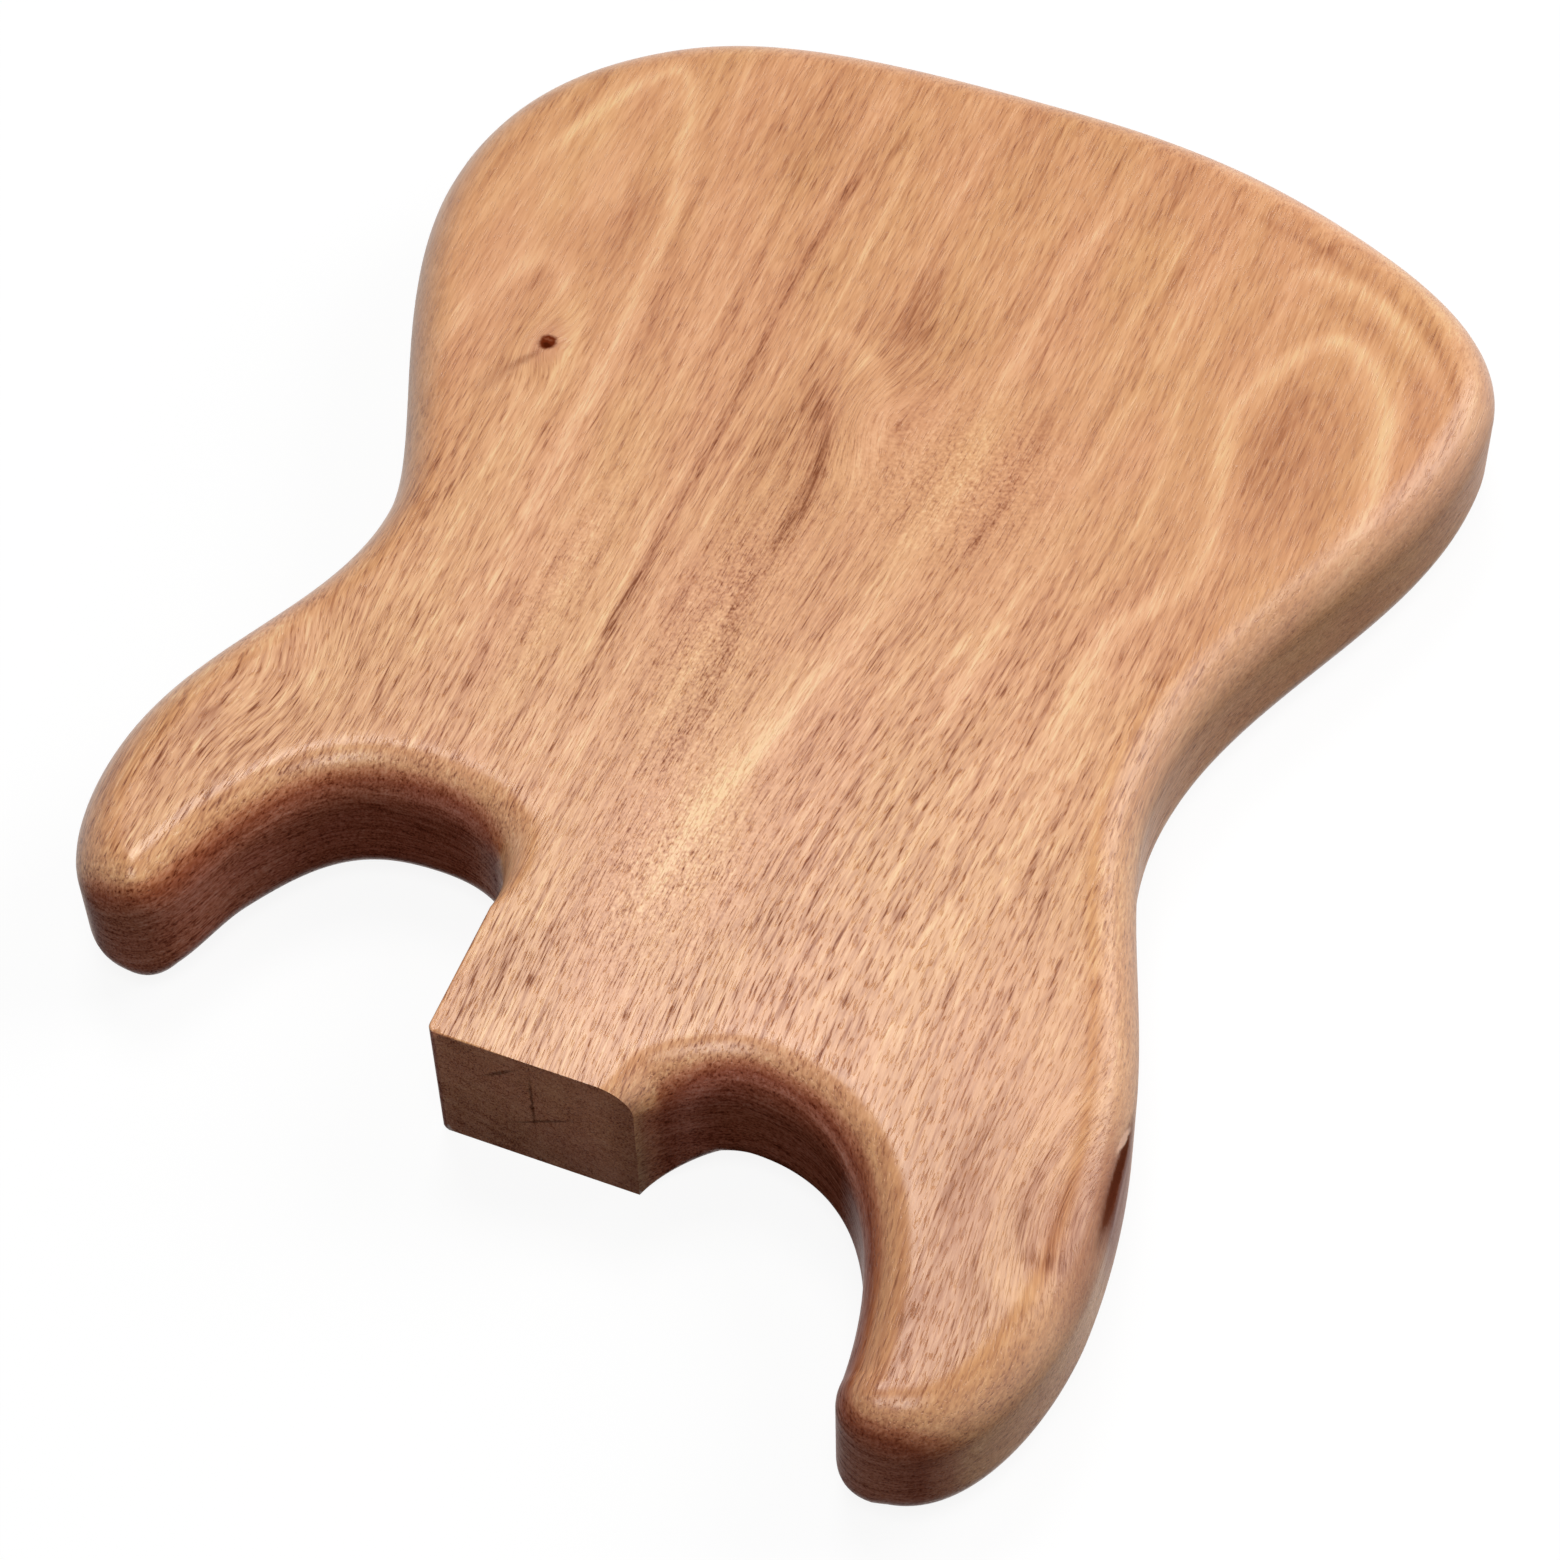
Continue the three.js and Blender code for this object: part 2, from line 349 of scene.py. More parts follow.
def inside_loop(places: np.ndarray, loop: np.ndarray, clearance: float) -> np.ndarray:
    """Tells which places lie inside a closed loop and away from its corners.

    A place is inside when a level line from it crosses the loop an odd number of times.

    Args:
        places: Places in the plane.
        loop: Corners of the loop.
        clearance: Least way to a corner.

    Returns:
        True for each place that is inside and clear.
    """
    after = np.roll(loop, -1, axis=0)
    rise = after[:, 1] - loop[:, 1]
    rise = np.where(np.abs(rise) < TINY, TINY, rise)
    good = []
    for part in batches(places):
        x, y = part[:, :1], part[:, 1:]
        spans = (loop[:, 1] > y) != (after[:, 1] > y)
        at = loop[:, 0] + (y - loop[:, 1]) / rise * (after[:, 0] - loop[:, 0])
        odd = (spans & (x < at)).sum(axis=1) % 2 == 1
        near = ((x - loop[:, 0]) ** 2 + (y - loop[:, 1]) ** 2).min(axis=1) < clearance**2
        good.append(odd & ~near)
    return np.concatenate(good)


def fill_loop(loop: np.ndarray, spacing: float, clear_share: float = 0.7) -> tuple[np.ndarray, np.ndarray]:
    """Fills a flat loop with even triangles, on a grid whose rows are staggered by half a step.

    Args:
        loop: Corners of the loop, with no two alike.
        spacing: Side of the triangles.
        clear_share: Least way from the grid to a corner, as a share of the side.

    Returns:
        Places in the plane, and triangles that turn counter-clockwise.
    """
    low, high = loop.min(axis=0), loop.max(axis=0)
    row_gap = spacing * math.sqrt(3) / 2
    xs = np.arange(low[0], high[0] + spacing, spacing)
    ys = np.arange(low[1], high[1] + row_gap, row_gap)
    grid_x, grid_y = np.meshgrid(xs, ys)
    grid_x[1::2] += spacing / 2
    grid = np.stack([grid_x.ravel(), grid_y.ravel()], axis=1)
    grid = grid[inside_loop(grid, loop, spacing * clear_share)]
    corners = [Vector(place) for place in np.concatenate([loop, grid]).tolist()]
    ring = list(range(len(loop)))
    edges = list(zip(ring, ring[1:] + ring[:1]))
    places, _, faces, *_ = delaunay_2d_cdt(corners, edges, [ring], 1, 1e-7)
    flat = np.array([tuple(place) for place in places])
    triangles = np.array(faces)
    a, b, c = (flat[triangles[:, i]] for i in range(3))
    turned = (b[:, 0] - a[:, 0]) * (c[:, 1] - a[:, 1]) - (b[:, 1] - a[:, 1]) * (c[:, 0] - a[:, 0]) < 0
    triangles[turned] = triangles[turned][:, ::-1]
    return flat, triangles


def without_repeats(loop: np.ndarray, least: float = 1e-4) -> np.ndarray:
    """Loop without the corners that fall on the one before."""
    gaps = np.linalg.norm(loop - np.roll(loop, 1, axis=0), axis=1)
    return loop[gaps > least]


@dataclass
class Surface:
    """Patches of vertices and faces that are gathered into one mesh."""

    vertices: list[np.ndarray] = field(default_factory=list)
    faces: list[np.ndarray] = field(default_factory=list)
    count: int = 0
    seam_width: float = 0.004
    sharp_turn: float = 40.0

    def add(self, vertices: np.ndarray, faces: np.ndarray, turn_over: bool = False) -> None:
        """Adds a patch.

        Args:
            vertices: Its places, in mm.
            faces: Its faces, as rows of vertex numbers.
            turn_over: Whether its faces turn the other way.
        """
        self.vertices.append(vertices)
        numbered = (faces[:, ::-1] if turn_over else faces) + self.count
        self.faces.append(numbered)
        self.count += len(vertices)

    def add_grid(self, grid: np.ndarray, turn_over: bool = False) -> None:
        """Adds a grid of places as a patch of quads.

        Args:
            grid: Places by row and column.
            turn_over: Whether its faces turn the other way.
        """
        rows, columns = grid.shape[:2]
        at = np.arange(rows * columns).reshape(rows, columns)
        quads = np.stack([at[:-1, :-1], at[1:, :-1], at[1:, 1:], at[:-1, 1:]], axis=-1).reshape(-1, 4)
        self.add(grid.reshape(-1, 3), quads, turn_over)

    def add_cap(self, loop: np.ndarray, axes: tuple[int, int], spacing: float, turn_over: bool = False) -> None:
        """Adds a flat cap that fills a loop.

        Args:
            loop: Corners of the loop in space, on a plane square to the axis that is left out.
            axes: The two axes of the plane.
            spacing: Side of the cap's triangles.
            turn_over: Whether its faces look against the turn from the first axis to the second.
        """
        clean = without_repeats(loop)
        flat, triangles = fill_loop(clean[:, axes], spacing)
        places = np.empty((len(flat), 3))
        places[:, axes] = flat
        level = ({0, 1, 2} - set(axes)).pop()
        places[:, level] = clean[:, level].mean()
        self.add(places, triangles, turn_over)

    def mesh(self, name: str, mirror: bool, origin: np.ndarray) -> bpy.types.Mesh:
        """Joins the patches into one closed mesh in metres.

        Args:
            name: The mesh's name.
            mirror: Whether x is turned round the glue line.
            origin: Place of the sheet's origin in the frame, in mm.

        Returns:
            The mesh, smooth but for its sharp corners.
        """
        places = np.concatenate(self.vertices) * ((-1, 1, 1) if mirror else 1)
        faces = [row for patch in self.faces for row in patch.tolist()]
        made = bpy.data.meshes.new(name)
        made.from_pydata(((places + origin) * MM).tolist(), [], faces)
        work = bmesh.new()
        work.from_mesh(made)
        bmesh.ops.remove_doubles(work, verts=work.verts, dist=self.seam_width * MM)
        bmesh.ops.recalc_face_normals(work, faces=work.faces)
        work.to_mesh(made)
        work.free()
        made.polygons.foreach_set("use_smooth", np.ones(len(made.polygons), dtype=bool))
        made.set_sharp_from_angle(angle=math.radians(self.sharp_turn))
        made.update()
        return made


@dataclass(frozen=True)
class Bump:
    """Bell-shaped bump over the face: its middle, its height, and its half widths across and along the grain."""

    x: float
    y: float
    height: float
    across: float
    along: float

    def at(self, x: np.ndarray, y: np.ndarray, power: float = 1.0) -> np.ndarray:
        """Height times exp(-d^power), where d is the squared way from the middle in half widths."""
        d = ((x - self.x) / self.across) ** 2 + ((y - self.y) / self.along) ** 2
        return self.height * np.exp(-(d**power))


@dataclass(frozen=True)
class FigureLine:
    """Line of the figure, where a growth ring comes out on the face: a smooth course through a few places.

    One side of a ring's line is sharper than the other, so it has a width on each side of its course. Its strength
    is above zero for a pale line and below zero for a dark one.
    """

    strength: float
    left: float
    right: float
    places: tuple[tuple[float, float], ...]
    fade: float = 0.1
    span_points: int = 40

    def course(self) -> np.ndarray:
        """Draws the course: on each span the cubic that passes its ends along the chords of their neighbours.

        Returns:
            Points of the course, in order.
        """
        p = np.array(self.places)
        p = np.concatenate([[2 * p[0] - p[1]], p, [2 * p[-1] - p[-2]]])
        a, b, c, d = p[:-3], p[1:-2], p[2:-1], p[3:]
        t = np.linspace(0, 1, self.span_points, endpoint=False)[:, None, None]
        curve = 2 * b + (c - a) * t + (2 * a - 5 * b + 4 * c - d) * t**2 + (3 * b - a - 3 * c + d) * t**3
        return curve.transpose(1, 0, 2).reshape(-1, 2) / 2

    def at(self, x: np.ndarray, y: np.ndarray) -> np.ndarray:
        """Strength at the places: a bell curve of the way to the course, faded towards both of its ends.

        Args:
            x: Way from the glue line.
            y: Way from the tail end.

        Returns:
            The strength, zero away from the course.
        """
        course = self.course()
        run = np.gradient(course, axis=0)
        reach = 3 * max(self.left, self.right)
        low, high = course.min(axis=0) - reach, course.max(axis=0) + reach
        found = np.zeros(len(x))
        near = np.flatnonzero((x > low[0]) & (x < high[0]) & (y > low[1]) & (y < high[1]))
        for part in batches(near):
            away = np.stack([x[part], y[part]], axis=1)[:, None, :] - course[None]
            nearest = (away**2).sum(axis=2).argmin(axis=1)
            off = away[np.arange(len(part)), nearest]
            side = run[nearest, 0] * off[:, 1] - run[nearest, 1] * off[:, 0]
            width = np.where(side > 0, self.left, self.right)
            share = nearest / (len(course) - 1)
            faded = np.clip(np.minimum(share, 1 - share) / self.fade, 0, 1)
            found[part] = self.strength * faded * np.exp(-(off**2).sum(axis=1) / width**2)
        return found


# Figure of the front face, as it runs on the object: an arch round an island in the bass bout, lines that lean
# with the grain, a dark line beside two pale ones, a pointed arch in the treble bout, and one in the short horn.
# Each has its strength, its widths to the left and right of the course, its places, and its fade
FIGURE_LINES = (
    FigureLine(0.9, 2.6, 4.2, (
        (-80.5, 307.5), (-85.5, 255.0), (-84.0, 190.0), (-87.0, 171.0), (-95.5, 157.5), (-99.3, 140.0),
        (-96.8, 120.0), (-91.8, 95.0), (-99.3, 72.5), (-109.3, 60.5), (-120.5, 65.0), (-130.5, 85.0), (-135.5, 115.0),
        (-133.0, 137.5), (-128.0, 160.0),
    ), 0.14),
    FigureLine(0.6, 2.0, 3.0, (
        (-65.5, 292.5), (-73.0, 215.0), (-74.0, 177.5), (-80.5, 145.0), (-80.5, 120.0), (-77.5, 92.5), (-81.8, 65.0),
        (-88.0, 47.0), (-98.0, 40.0), (-118.0, 45.0), (-138.0, 62.5), (-147.0, 82.0),
    )),
    FigureLine(0.45, 2.0, 2.6, (
        (-56.8, 240.0), (-58.0, 190.0), (-63.0, 152.5), (-64.3, 115.0), (-68.0, 70.0), (-83.0, 25.0),
    )),
    FigureLine(0.5, 1.8, 1.8, (
        (-46.0, 240.0), (-48.0, 227.5), (-53.0, 177.5), (-58.0, 140.0), (-58.0, 65.0), (-65.5, 25.0),
    )),
    FigureLine(0.7, 2.2, 3.0, (
        (-5.0, 305.0), (-13.0, 255.0), (-25.5, 197.5), (-34.3, 135.0), (-34.3, 77.5), (-43.0, 15.0),
    )),
    FigureLine(0.55, 5.0, 3.0, ((-8.0, 268.0), (-13.0, 250.0), (-19.0, 222.0))),
    FigureLine(0.5, 6.0, 2.5, ((-8.0, 158.0), (-8.0, 138.0), (-3.0, 118.0), (8.0, 108.0), (20.0, 104.0))),
    FigureLine(0.6, 1.6, 1.6, (
        (25.8, 305.0), (24.0, 240.0), (23.3, 190.0), (20.8, 140.0), (18.3, 102.5), (18.3, 40.0), (19.5, 14.0),
    ), 0.05),
    FigureLine(-1.0, 1.3, 1.3, ((32.0, 262.0), (32.0, 190.0), (30.8, 140.0), (32.0, 95.0), (29.5, 36.0)), 0.08),
    FigureLine(0.5, 1.6, 1.6, ((35.8, 275.0), (35.0, 215.0), (35.5, 150.0))),
    FigureLine(0.5, 1.6, 2.2, ((40.8, 240.0), (42.0, 165.0), (40.3, 115.0), (40.8, 52.0))),
    FigureLine(0.5, 1.6, 2.0, ((48.3, 265.0), (48.3, 215.0), (47.0, 165.0), (47.5, 115.0), (47.0, 36.0))),
    FigureLine(0.85, 1.8, 3.2, (
        (65.8, 265.0), (66.5, 215.0), (67.0, 165.0), (67.5, 135.0), (70.8, 105.0), (72.5, 82.5), (78.3, 60.0),
        (84.5, 38.0), (90.0, 31.0), (96.0, 37.0), (104.5, 52.5), (114.5, 77.5), (119.5, 105.0), (122.0, 124.0),
    )),
    FigureLine(0.6, 3.0, 5.0, (
        (79.5, 262.0), (82.0, 215.0), (83.0, 190.0), (82.0, 165.0), (78.3, 146.0), (82.0, 128.0), (90.0, 114.0),
        (96.0, 108.0), (104.5, 118.0), (110.0, 140.0), (112.0, 165.0),
    )),
    FigureLine(0.55, 2.4, 4.0, ((91.0, 270.0), (100.8, 250.0), (105.8, 242.5), (114.5, 255.0), (127.0, 285.0))),
    FigureLine(0.5, 2.4, 3.0, (
        (-136.0, 352.0), (-128.0, 360.0), (-120.5, 352.0), (-117.0, 333.0), (-120.5, 312.0), (-127.0, 298.0),
    )),
    FigureLine(-0.5, 2.4, 2.4, (
        (-138.0, 343.0), (-131.0, 350.0), (-124.5, 345.0), (-122.0, 332.0), (-125.0, 316.0), (-131.0, 305.0),
    )),
    FigureLine(-0.6, 2.6, 2.6, ((3.0, 262.0), (2.0, 220.0), (6.0, 190.0), (1.0, 160.0), (7.0, 135.0), (16.0, 122.0))),
    FigureLine(-0.5, 1.6, 1.6, ((-18.0, 262.0), (-30.0, 225.0), (-40.0, 180.0), (-47.0, 140.0), (-48.0, 96.0))),
    FigureLine(0.6, 2.2, 3.0, (
        (-50.0, 8.0), (-80.0, 16.0), (-110.0, 25.0), (-135.0, 42.0), (-149.0, 64.0), (-153.0, 92.0),
    )),
    FigureLine(-0.45, 2.0, 2.0, ((-66.0, 24.0), (-100.0, 32.5), (-128.0, 47.0), (-143.0, 66.0), (-149.0, 90.0))),
    FigureLine(-0.35, 2.4, 2.4, ((-98.0, 49.0), (-116.0, 53.0), (-133.0, 68.0), (-141.0, 92.0))),
)

# Stains of the front face: above zero paler, below zero darker. The wide dark one lies over the long horn
STAINS = (
    Bump(-112.0, 106.0, -0.5, 15.0, 29.0),
    Bump(-6.0, 92.0, -0.4, 9.0, 17.0),
    Bump(12.0, 150.0, -0.35, 12.0, 34.0),
    Bump(19.0, 328.0, -0.5, 5.0, 16.0),
    Bump(-8.0, 250.0, 0.25, 16.0, 40.0),
    Bump(98.0, 74.0, 0.35, 12.0, 26.0),
    Bump(-128.0, 335.0, -0.3, 10.0, 14.0),
    Bump(80.0, 88.0, -0.35, 5.0, 20.0),
    Bump(-108.0, 362.0, -0.45, 34.0, 48.0),
    Bump(-7.0, 330.0, 0.5, 5.0, 14.0),
    Bump(12.0, 334.0, 0.35, 3.5, 10.0),
)


@dataclass(frozen=True)
class Grain:
    """Run of the grain through the blank, from the tree that it was sawn from.

    The rings lie nearly flat in the blank, so their lines are wide apart on the faces and close together down the
    edges. They arch over a crown line in each lower bout, where the saw cut along the top of a ring. Over knots the
    fibres swirl, at curls they rise to the face, and at calms the streaks are fainter.
    """

    # Push of the fibres to the treble side in mm: the lean of the whole, and the swirls
    lean: Bump = Bump(-32.0, 300.0, 20.0, 55.0, 125.0)
    swirls: tuple[Bump, ...] = (
        Bump(-143.0, 333.0, 17.0, 21.0, 26.0),
        Bump(85.6, 137.0, 4.5, 6.0, 9.0),
        Bump(-4.0, 128.0, 7.0, 12.0, 18.0),
        Bump(101.0, 262.0, -8.0, 14.0, 22.0),
    )
    # Places of flecks, and of fainter streaks; the contrast at both ends and how it climbs between them
    curls: tuple[Bump, ...] = (
        Bump(-33.0, 140.0, 1.0, 26.0, 26.0),
        Bump(-10.0, 275.0, 1.0, 18.0, 36.0),
        Bump(8.0, 205.0, 0.8, 14.0, 40.0),
        Bump(50.0, 205.0, 0.6, 8.0, 40.0),
    )
    calms: tuple[Bump, ...] = (
        Bump(-115.0, 100.0, 0.25, 38.0, 60.0),
        Bump(104.0, 100.0, 0.25, 34.0, 60.0),
        Bump(-112.0, 348.0, 0.74, 40.0, 62.0),
    )
    tail_contrast: float = 0.62
    heel_contrast: float = 1.15
    contrast_middle: float = 190.0
    contrast_ease: float = 90.0
    # Growth rings: the crown lines, how their arches close towards the tail, and the depth of the figure
    bass_crown: float = -111.0
    bass_crown_end: float = 95.0
    bass_taper: float = 0.36
    bass_taper_ease: float = 12.0
    treble_crown: float = 91.0
    treble_crown_end: float = 130.0
    treble_taper: float = 0.2
    treble_taper_ease: float = 25.0
    treble_start: float = 50.0
    treble_start_ease: float = 14.0
    crown_width: float = 5.0
    depth_stretch: float = 2.6
    face_depth: float = 11.0
    back_shift: tuple[float, float] = (11.0, -24.0)
    stain_power: float = 1.6
    # End grain: its shares, and the painted shade in the nooks of the two cutaways; the heel's plane is known by its
    # place and its normal. The small tail share keeps end grain that looks to the tail paler, as painted light
    tail_share: float = 0.7
    end_share: float = 1.0
    plane_width: float = 0.01
    plane_look: float = 0.7
    painted_nook_shade: tuple[Bump, ...] = (Bump(58.0, 285.0, 0.25, 40.0, 26.0), Bump(-48.0, 332.0, 0.6, 30.0, 20.0))
    # Polish, and the painted sheen of the round-over, paler and pinker where it leans
    wall_polish: float = 0.07
    level_share: float = 0.4
    end_polish: tuple[float, float] = (1.6, 1.3)
    painted_sheen_gain: float = 4.0
    painted_sheen_fall: float = 2.0

    def fibre(self, x: np.ndarray, y: np.ndarray) -> np.ndarray:
        """Place across the grain in the straight tree, in mm: x less the lean and the push of the swirls."""
        return x - self.lean.at(x, y) - sum(swirl.at(x, y) for swirl in self.swirls)

    def ring(self, x: np.ndarray, y: np.ndarray, z: np.ndarray) -> np.ndarray:
        """Place among the growth rings.

        On the bass side it folds back over the crown line, as the root of the square of the way across plus the
        square of a drop that grows towards the tail. On the treble side it is the way across plus such a drop.
        Depth adds to it, stretched.

        Args:
            x: Way from the glue line.
            y: Way from the tail end.
            z: Height over the back face.

        Returns:
            The place, in mm across the face.
        """
        across = self.fibre(x, y)
        bass_way = soft_ramp(self.bass_crown_end - y, self.bass_taper_ease)
        bass_drop = self.bass_taper * bass_way + self.crown_width
        treble_drop = self.treble_taper * soft_ramp(self.treble_crown_end - y, self.treble_taper_ease)
        treble_drop *= soft_step(across - self.treble_start, self.treble_start_ease)
        bass_fold = np.sqrt((across - self.bass_crown) ** 2 + bass_drop**2) + self.bass_crown
        treble_way = np.sqrt((across - self.treble_crown) ** 2 + self.crown_width**2)
        treble_fold = self.treble_crown - treble_way - treble_drop
        return bass_fold + treble_fold - across + self.depth_stretch * (THICKNESS - z)

    def figure(self, x: np.ndarray, y: np.ndarray, z: np.ndarray) -> np.ndarray:
        """Figure that is drawn on the faces: lines and stains, which die away with depth.

        The same rings come out at the back, shifted.

        Args:
            x: Way from the glue line.
            y: Way from the tail end.
            z: Height over the back face.

        Returns:
            The figure, above zero where the wood is paler.
        """
        total = np.zeros(len(x))
        for height, shift in ((THICKNESS, (0.0, 0.0)), (0.0, self.back_shift)):
            at_x, at_y = x + shift[0], y + shift[1]
            face = sum(line.at(at_x, at_y) for line in FIGURE_LINES)
            face += sum(stain.at(at_x, at_y, self.stain_power) for stain in STAINS)
            total += face * np.exp(-(((z - height) / self.face_depth) ** 2))
        return total

    def curl(self, x: np.ndarray, y: np.ndarray) -> np.ndarray:
        """Share of the wood whose fibres rise to the face, so that its streaks break up into short flecks."""
        return np.minimum(1.0, sum(curl.at(x, y) for curl in self.curls))

    def contrast(self, x: np.ndarray, y: np.ndarray) -> np.ndarray:
        """Contrast of the streaks, which climbs from the tail to the heel and is less at the calms."""
        towards_heel = soft_step(y - self.contrast_middle, self.contrast_ease)
        climb = self.tail_contrast + (self.heel_contrast - self.tail_contrast) * towards_heel
        return climb - sum(calm.at(x, y) for calm in self.calms)

    def end_grain_and_shade(self, x: np.ndarray, y: np.ndarray, normals: np.ndarray, heel_share: float) -> np.ndarray:
        """Share of end grain, with painted shade, by where the surface looks.

        It is the squares of the parts of the normal that look to the heel and to the glue line, times the end share
        and the painted shade of the cutaway nooks, plus the tail share times the fourth power of the part that looks
        to the tail. Walls that look to the glue line are long grain, so that part paints shade on the inner walls of
        the horns and cutaways, and the small tail share keeps end grain that looks to the tail paler, as painted light
        of the lamps behind it. The flat heel end has a share of its own.

        Args:
            x: Way from the glue line.
            y: Way from the tail end.
            normals: Unit normals at these places.
            heel_share: Share of the flat heel end.

        Returns:
            The share: about one on soaked end grain and on the inner walls in painted shade, more in the nooks.
        """
        outward, along, _ = normals.T
        # The part that looks to the glue line paints shade on the inner walls of the horns and cutaways
        inward = np.maximum(-np.sign(x) * outward, 0.0)
        # The bumps add painted shade in the nooks of the two cutaways
        share = self.end_share + sum(nook.at(x, y) for nook in self.painted_nook_shade)
        # Painted light: end grain that looks to the tail darkens less, as the lamps behind the tail light it
        ends = share * (np.maximum(along, 0.0) ** 2 + inward**2) + self.tail_share * np.maximum(-along, 0.0) ** 4
        on_plane = np.abs(y - HEEL_REACH) < self.plane_width
        return np.where((along > self.plane_look) & on_plane, heel_share, ends)

    def keep_on(self, mesh: bpy.types.Mesh, origin: np.ndarray, heel_share: float) -> None:
        """Keeps the run of the grain on a mesh, for the finish to read.

        The level part of the surface takes the polish, and end grain loses it. A painted sheen lies on the round-over
        where it leans, paler and pinker: u (1 - u) for the upward part u of the normal, times a gain, and less on end
        grain.

        Args:
            mesh: The mesh, in metres in the frame.
            origin: Place of the sheet's origin in the frame, in mm.
            heel_share: Share of end grain of the flat heel end, against one for rounded end grain.
        """
        x, y, z = (read_numbers(mesh.vertices, "co", 3) / MM - origin).T
        keep_attribute(mesh, "fibre", self.fibre(x, y))
        keep_attribute(mesh, "ring", self.ring(x, y, z))
        keep_attribute(mesh, "figure", self.figure(x, y, z))
        keep_attribute(mesh, "curl", self.curl(x, y))
        keep_attribute(mesh, "contrast", self.contrast(x, y))
        normals = read_numbers(mesh.corner_normals, "vector", 3)
        vertices = read_numbers(mesh.loops, "vertex_index", 1, np.int32)[:, 0]
        ends = self.end_grain_and_shade(x[vertices], y[vertices], normals, heel_share)
        upward = np.abs(normals[:, 2])
        level = np.clip(upward**2 / self.level_share, 0.0, 1.0)
        # Painted sheen: the round-over is painted paler where it leans, in place of the lamps' highlight, and less on
        # end grain
        leaning = np.clip(self.painted_sheen_gain * upward * (1 - upward), 0.0, 1.0)
        painted_edge_sheen = leaning * np.clip(1 - self.painted_sheen_fall * ends, 0.0, 1.0)
        polish = self.wall_polish + (1 - self.wall_polish) * level
        polish *= np.clip(self.end_polish[0] - self.end_polish[1] * ends, 0.0, 1.0)
        for name, values in (("end_grain_and_shade", ends), ("painted_edge_sheen", painted_edge_sheen), ("polish", polish)):
            keep_attribute(mesh, name, values, "CORNER")


@dataclass(frozen=True)
class Mark:
    """Coloured spot in the wood, as an egg shape in the sheet: middle, half axes and turns in degrees, in mm."""

    colour: str
    middle: tuple[float, float, float]
    half_axes: tuple[float, float, float]
    turns: tuple[float, float, float] = (0.0, 0.0, 0.0)
    strength: float = 1.0
    softness: float = 0.4

    def put_on(self, tree: Tree, place: Socket, colour: Socket) -> Socket:
        """Mixes the mark into a colour, by the way from its middle in half axes.

        Args:
            tree: The node tree.
            place: Place in the sheet, in mm.
            colour: Colour of the wood round it.

        Returns:
            The socket with the marked colour.
        """
        turns = tuple(math.radians(turn) for turn in self.turns)
        fitted = add_node(
            tree,
            "ShaderNodeMapping",
            {"Vector": place, "Location": self.middle, "Rotation": turns, "Scale": self.half_axes},
            vector_type="TEXTURE",
        )
        way = add_node(tree, "ShaderNodeVectorMath", {0: fitted.outputs[0]}, operation="LENGTH").outputs["Value"]
        edge = (1 - self.softness, 1 + self.softness)
        share = mapped(tree, way, edge, (self.strength, 0.0), "SMOOTHSTEP")
        return blend(tree, share, colour, linear(self.colour))


# Two dark veils and three thin saw and clamp marks in the heel's end face, which run over the glue line
HEEL_MARKS = (
    Mark("4a2218", (-4.0, HEEL_REACH, -3.0), (60.0, 2.0, 18.0), (0.0, -12.0, 0.0), strength=0.25, softness=0.9),
    Mark("4a2218", (-27.0, HEEL_REACH, 20.0), (6.0, 2.0, 32.0), strength=0.3, softness=0.9),
    Mark("3a2018", (0.9, HEEL_REACH, 28.0), (0.45, 2.0, 9.5), strength=0.6, softness=0.6),
    Mark("3a2018", (8.8, HEEL_REACH, 36.8), (5.0, 2.0, 0.6), (0.0, 41.0, 0.0), strength=0.6, softness=0.6),
    Mark("3a2018", (-1.3, HEEL_REACH, 20.5), (9.0, 2.0, 0.5), (0.0, 32.0, 0.0), strength=0.55, softness=0.6),
)
# Pin knot in the treble bout: its pale ring, two wisps beside it, its dark disc with the heart and a lighter
# fleck, and a small stain in the short horn
PIN_KNOT = (
    Mark("cf8866", (85.8, 136.4, THICKNESS), (5.0, 7.0, 12.0), strength=0.45, softness=0.7),
    Mark("97562f", (89.2, 144.0, THICKNESS), (5.5, 1.1, 6.0), (0.0, 0.0, 58.0), strength=0.55, softness=0.8),
    Mark("b06f45", (93.5, 152.0, THICKNESS), (7.0, 2.2, 6.0), (0.0, 0.0, 66.0), strength=0.4, softness=0.8),
    Mark("6e2a12", (85.7, 136.2, THICKNESS), (2.3, 2.6, 6.0), softness=0.3),
    Mark("441404", (85.5, 137.3, THICKNESS), (1.3, 0.9, 6.0), strength=0.8, softness=0.5),
    Mark("8d4a2a", (85.9, 135.3, THICKNESS), (1.4, 0.4, 6.0), strength=0.7, softness=0.5),
    Mark("ab6a46", (115.8, 281.0, THICKNESS), (3.2, 4.5, 8.0), strength=0.45, softness=0.7),
)
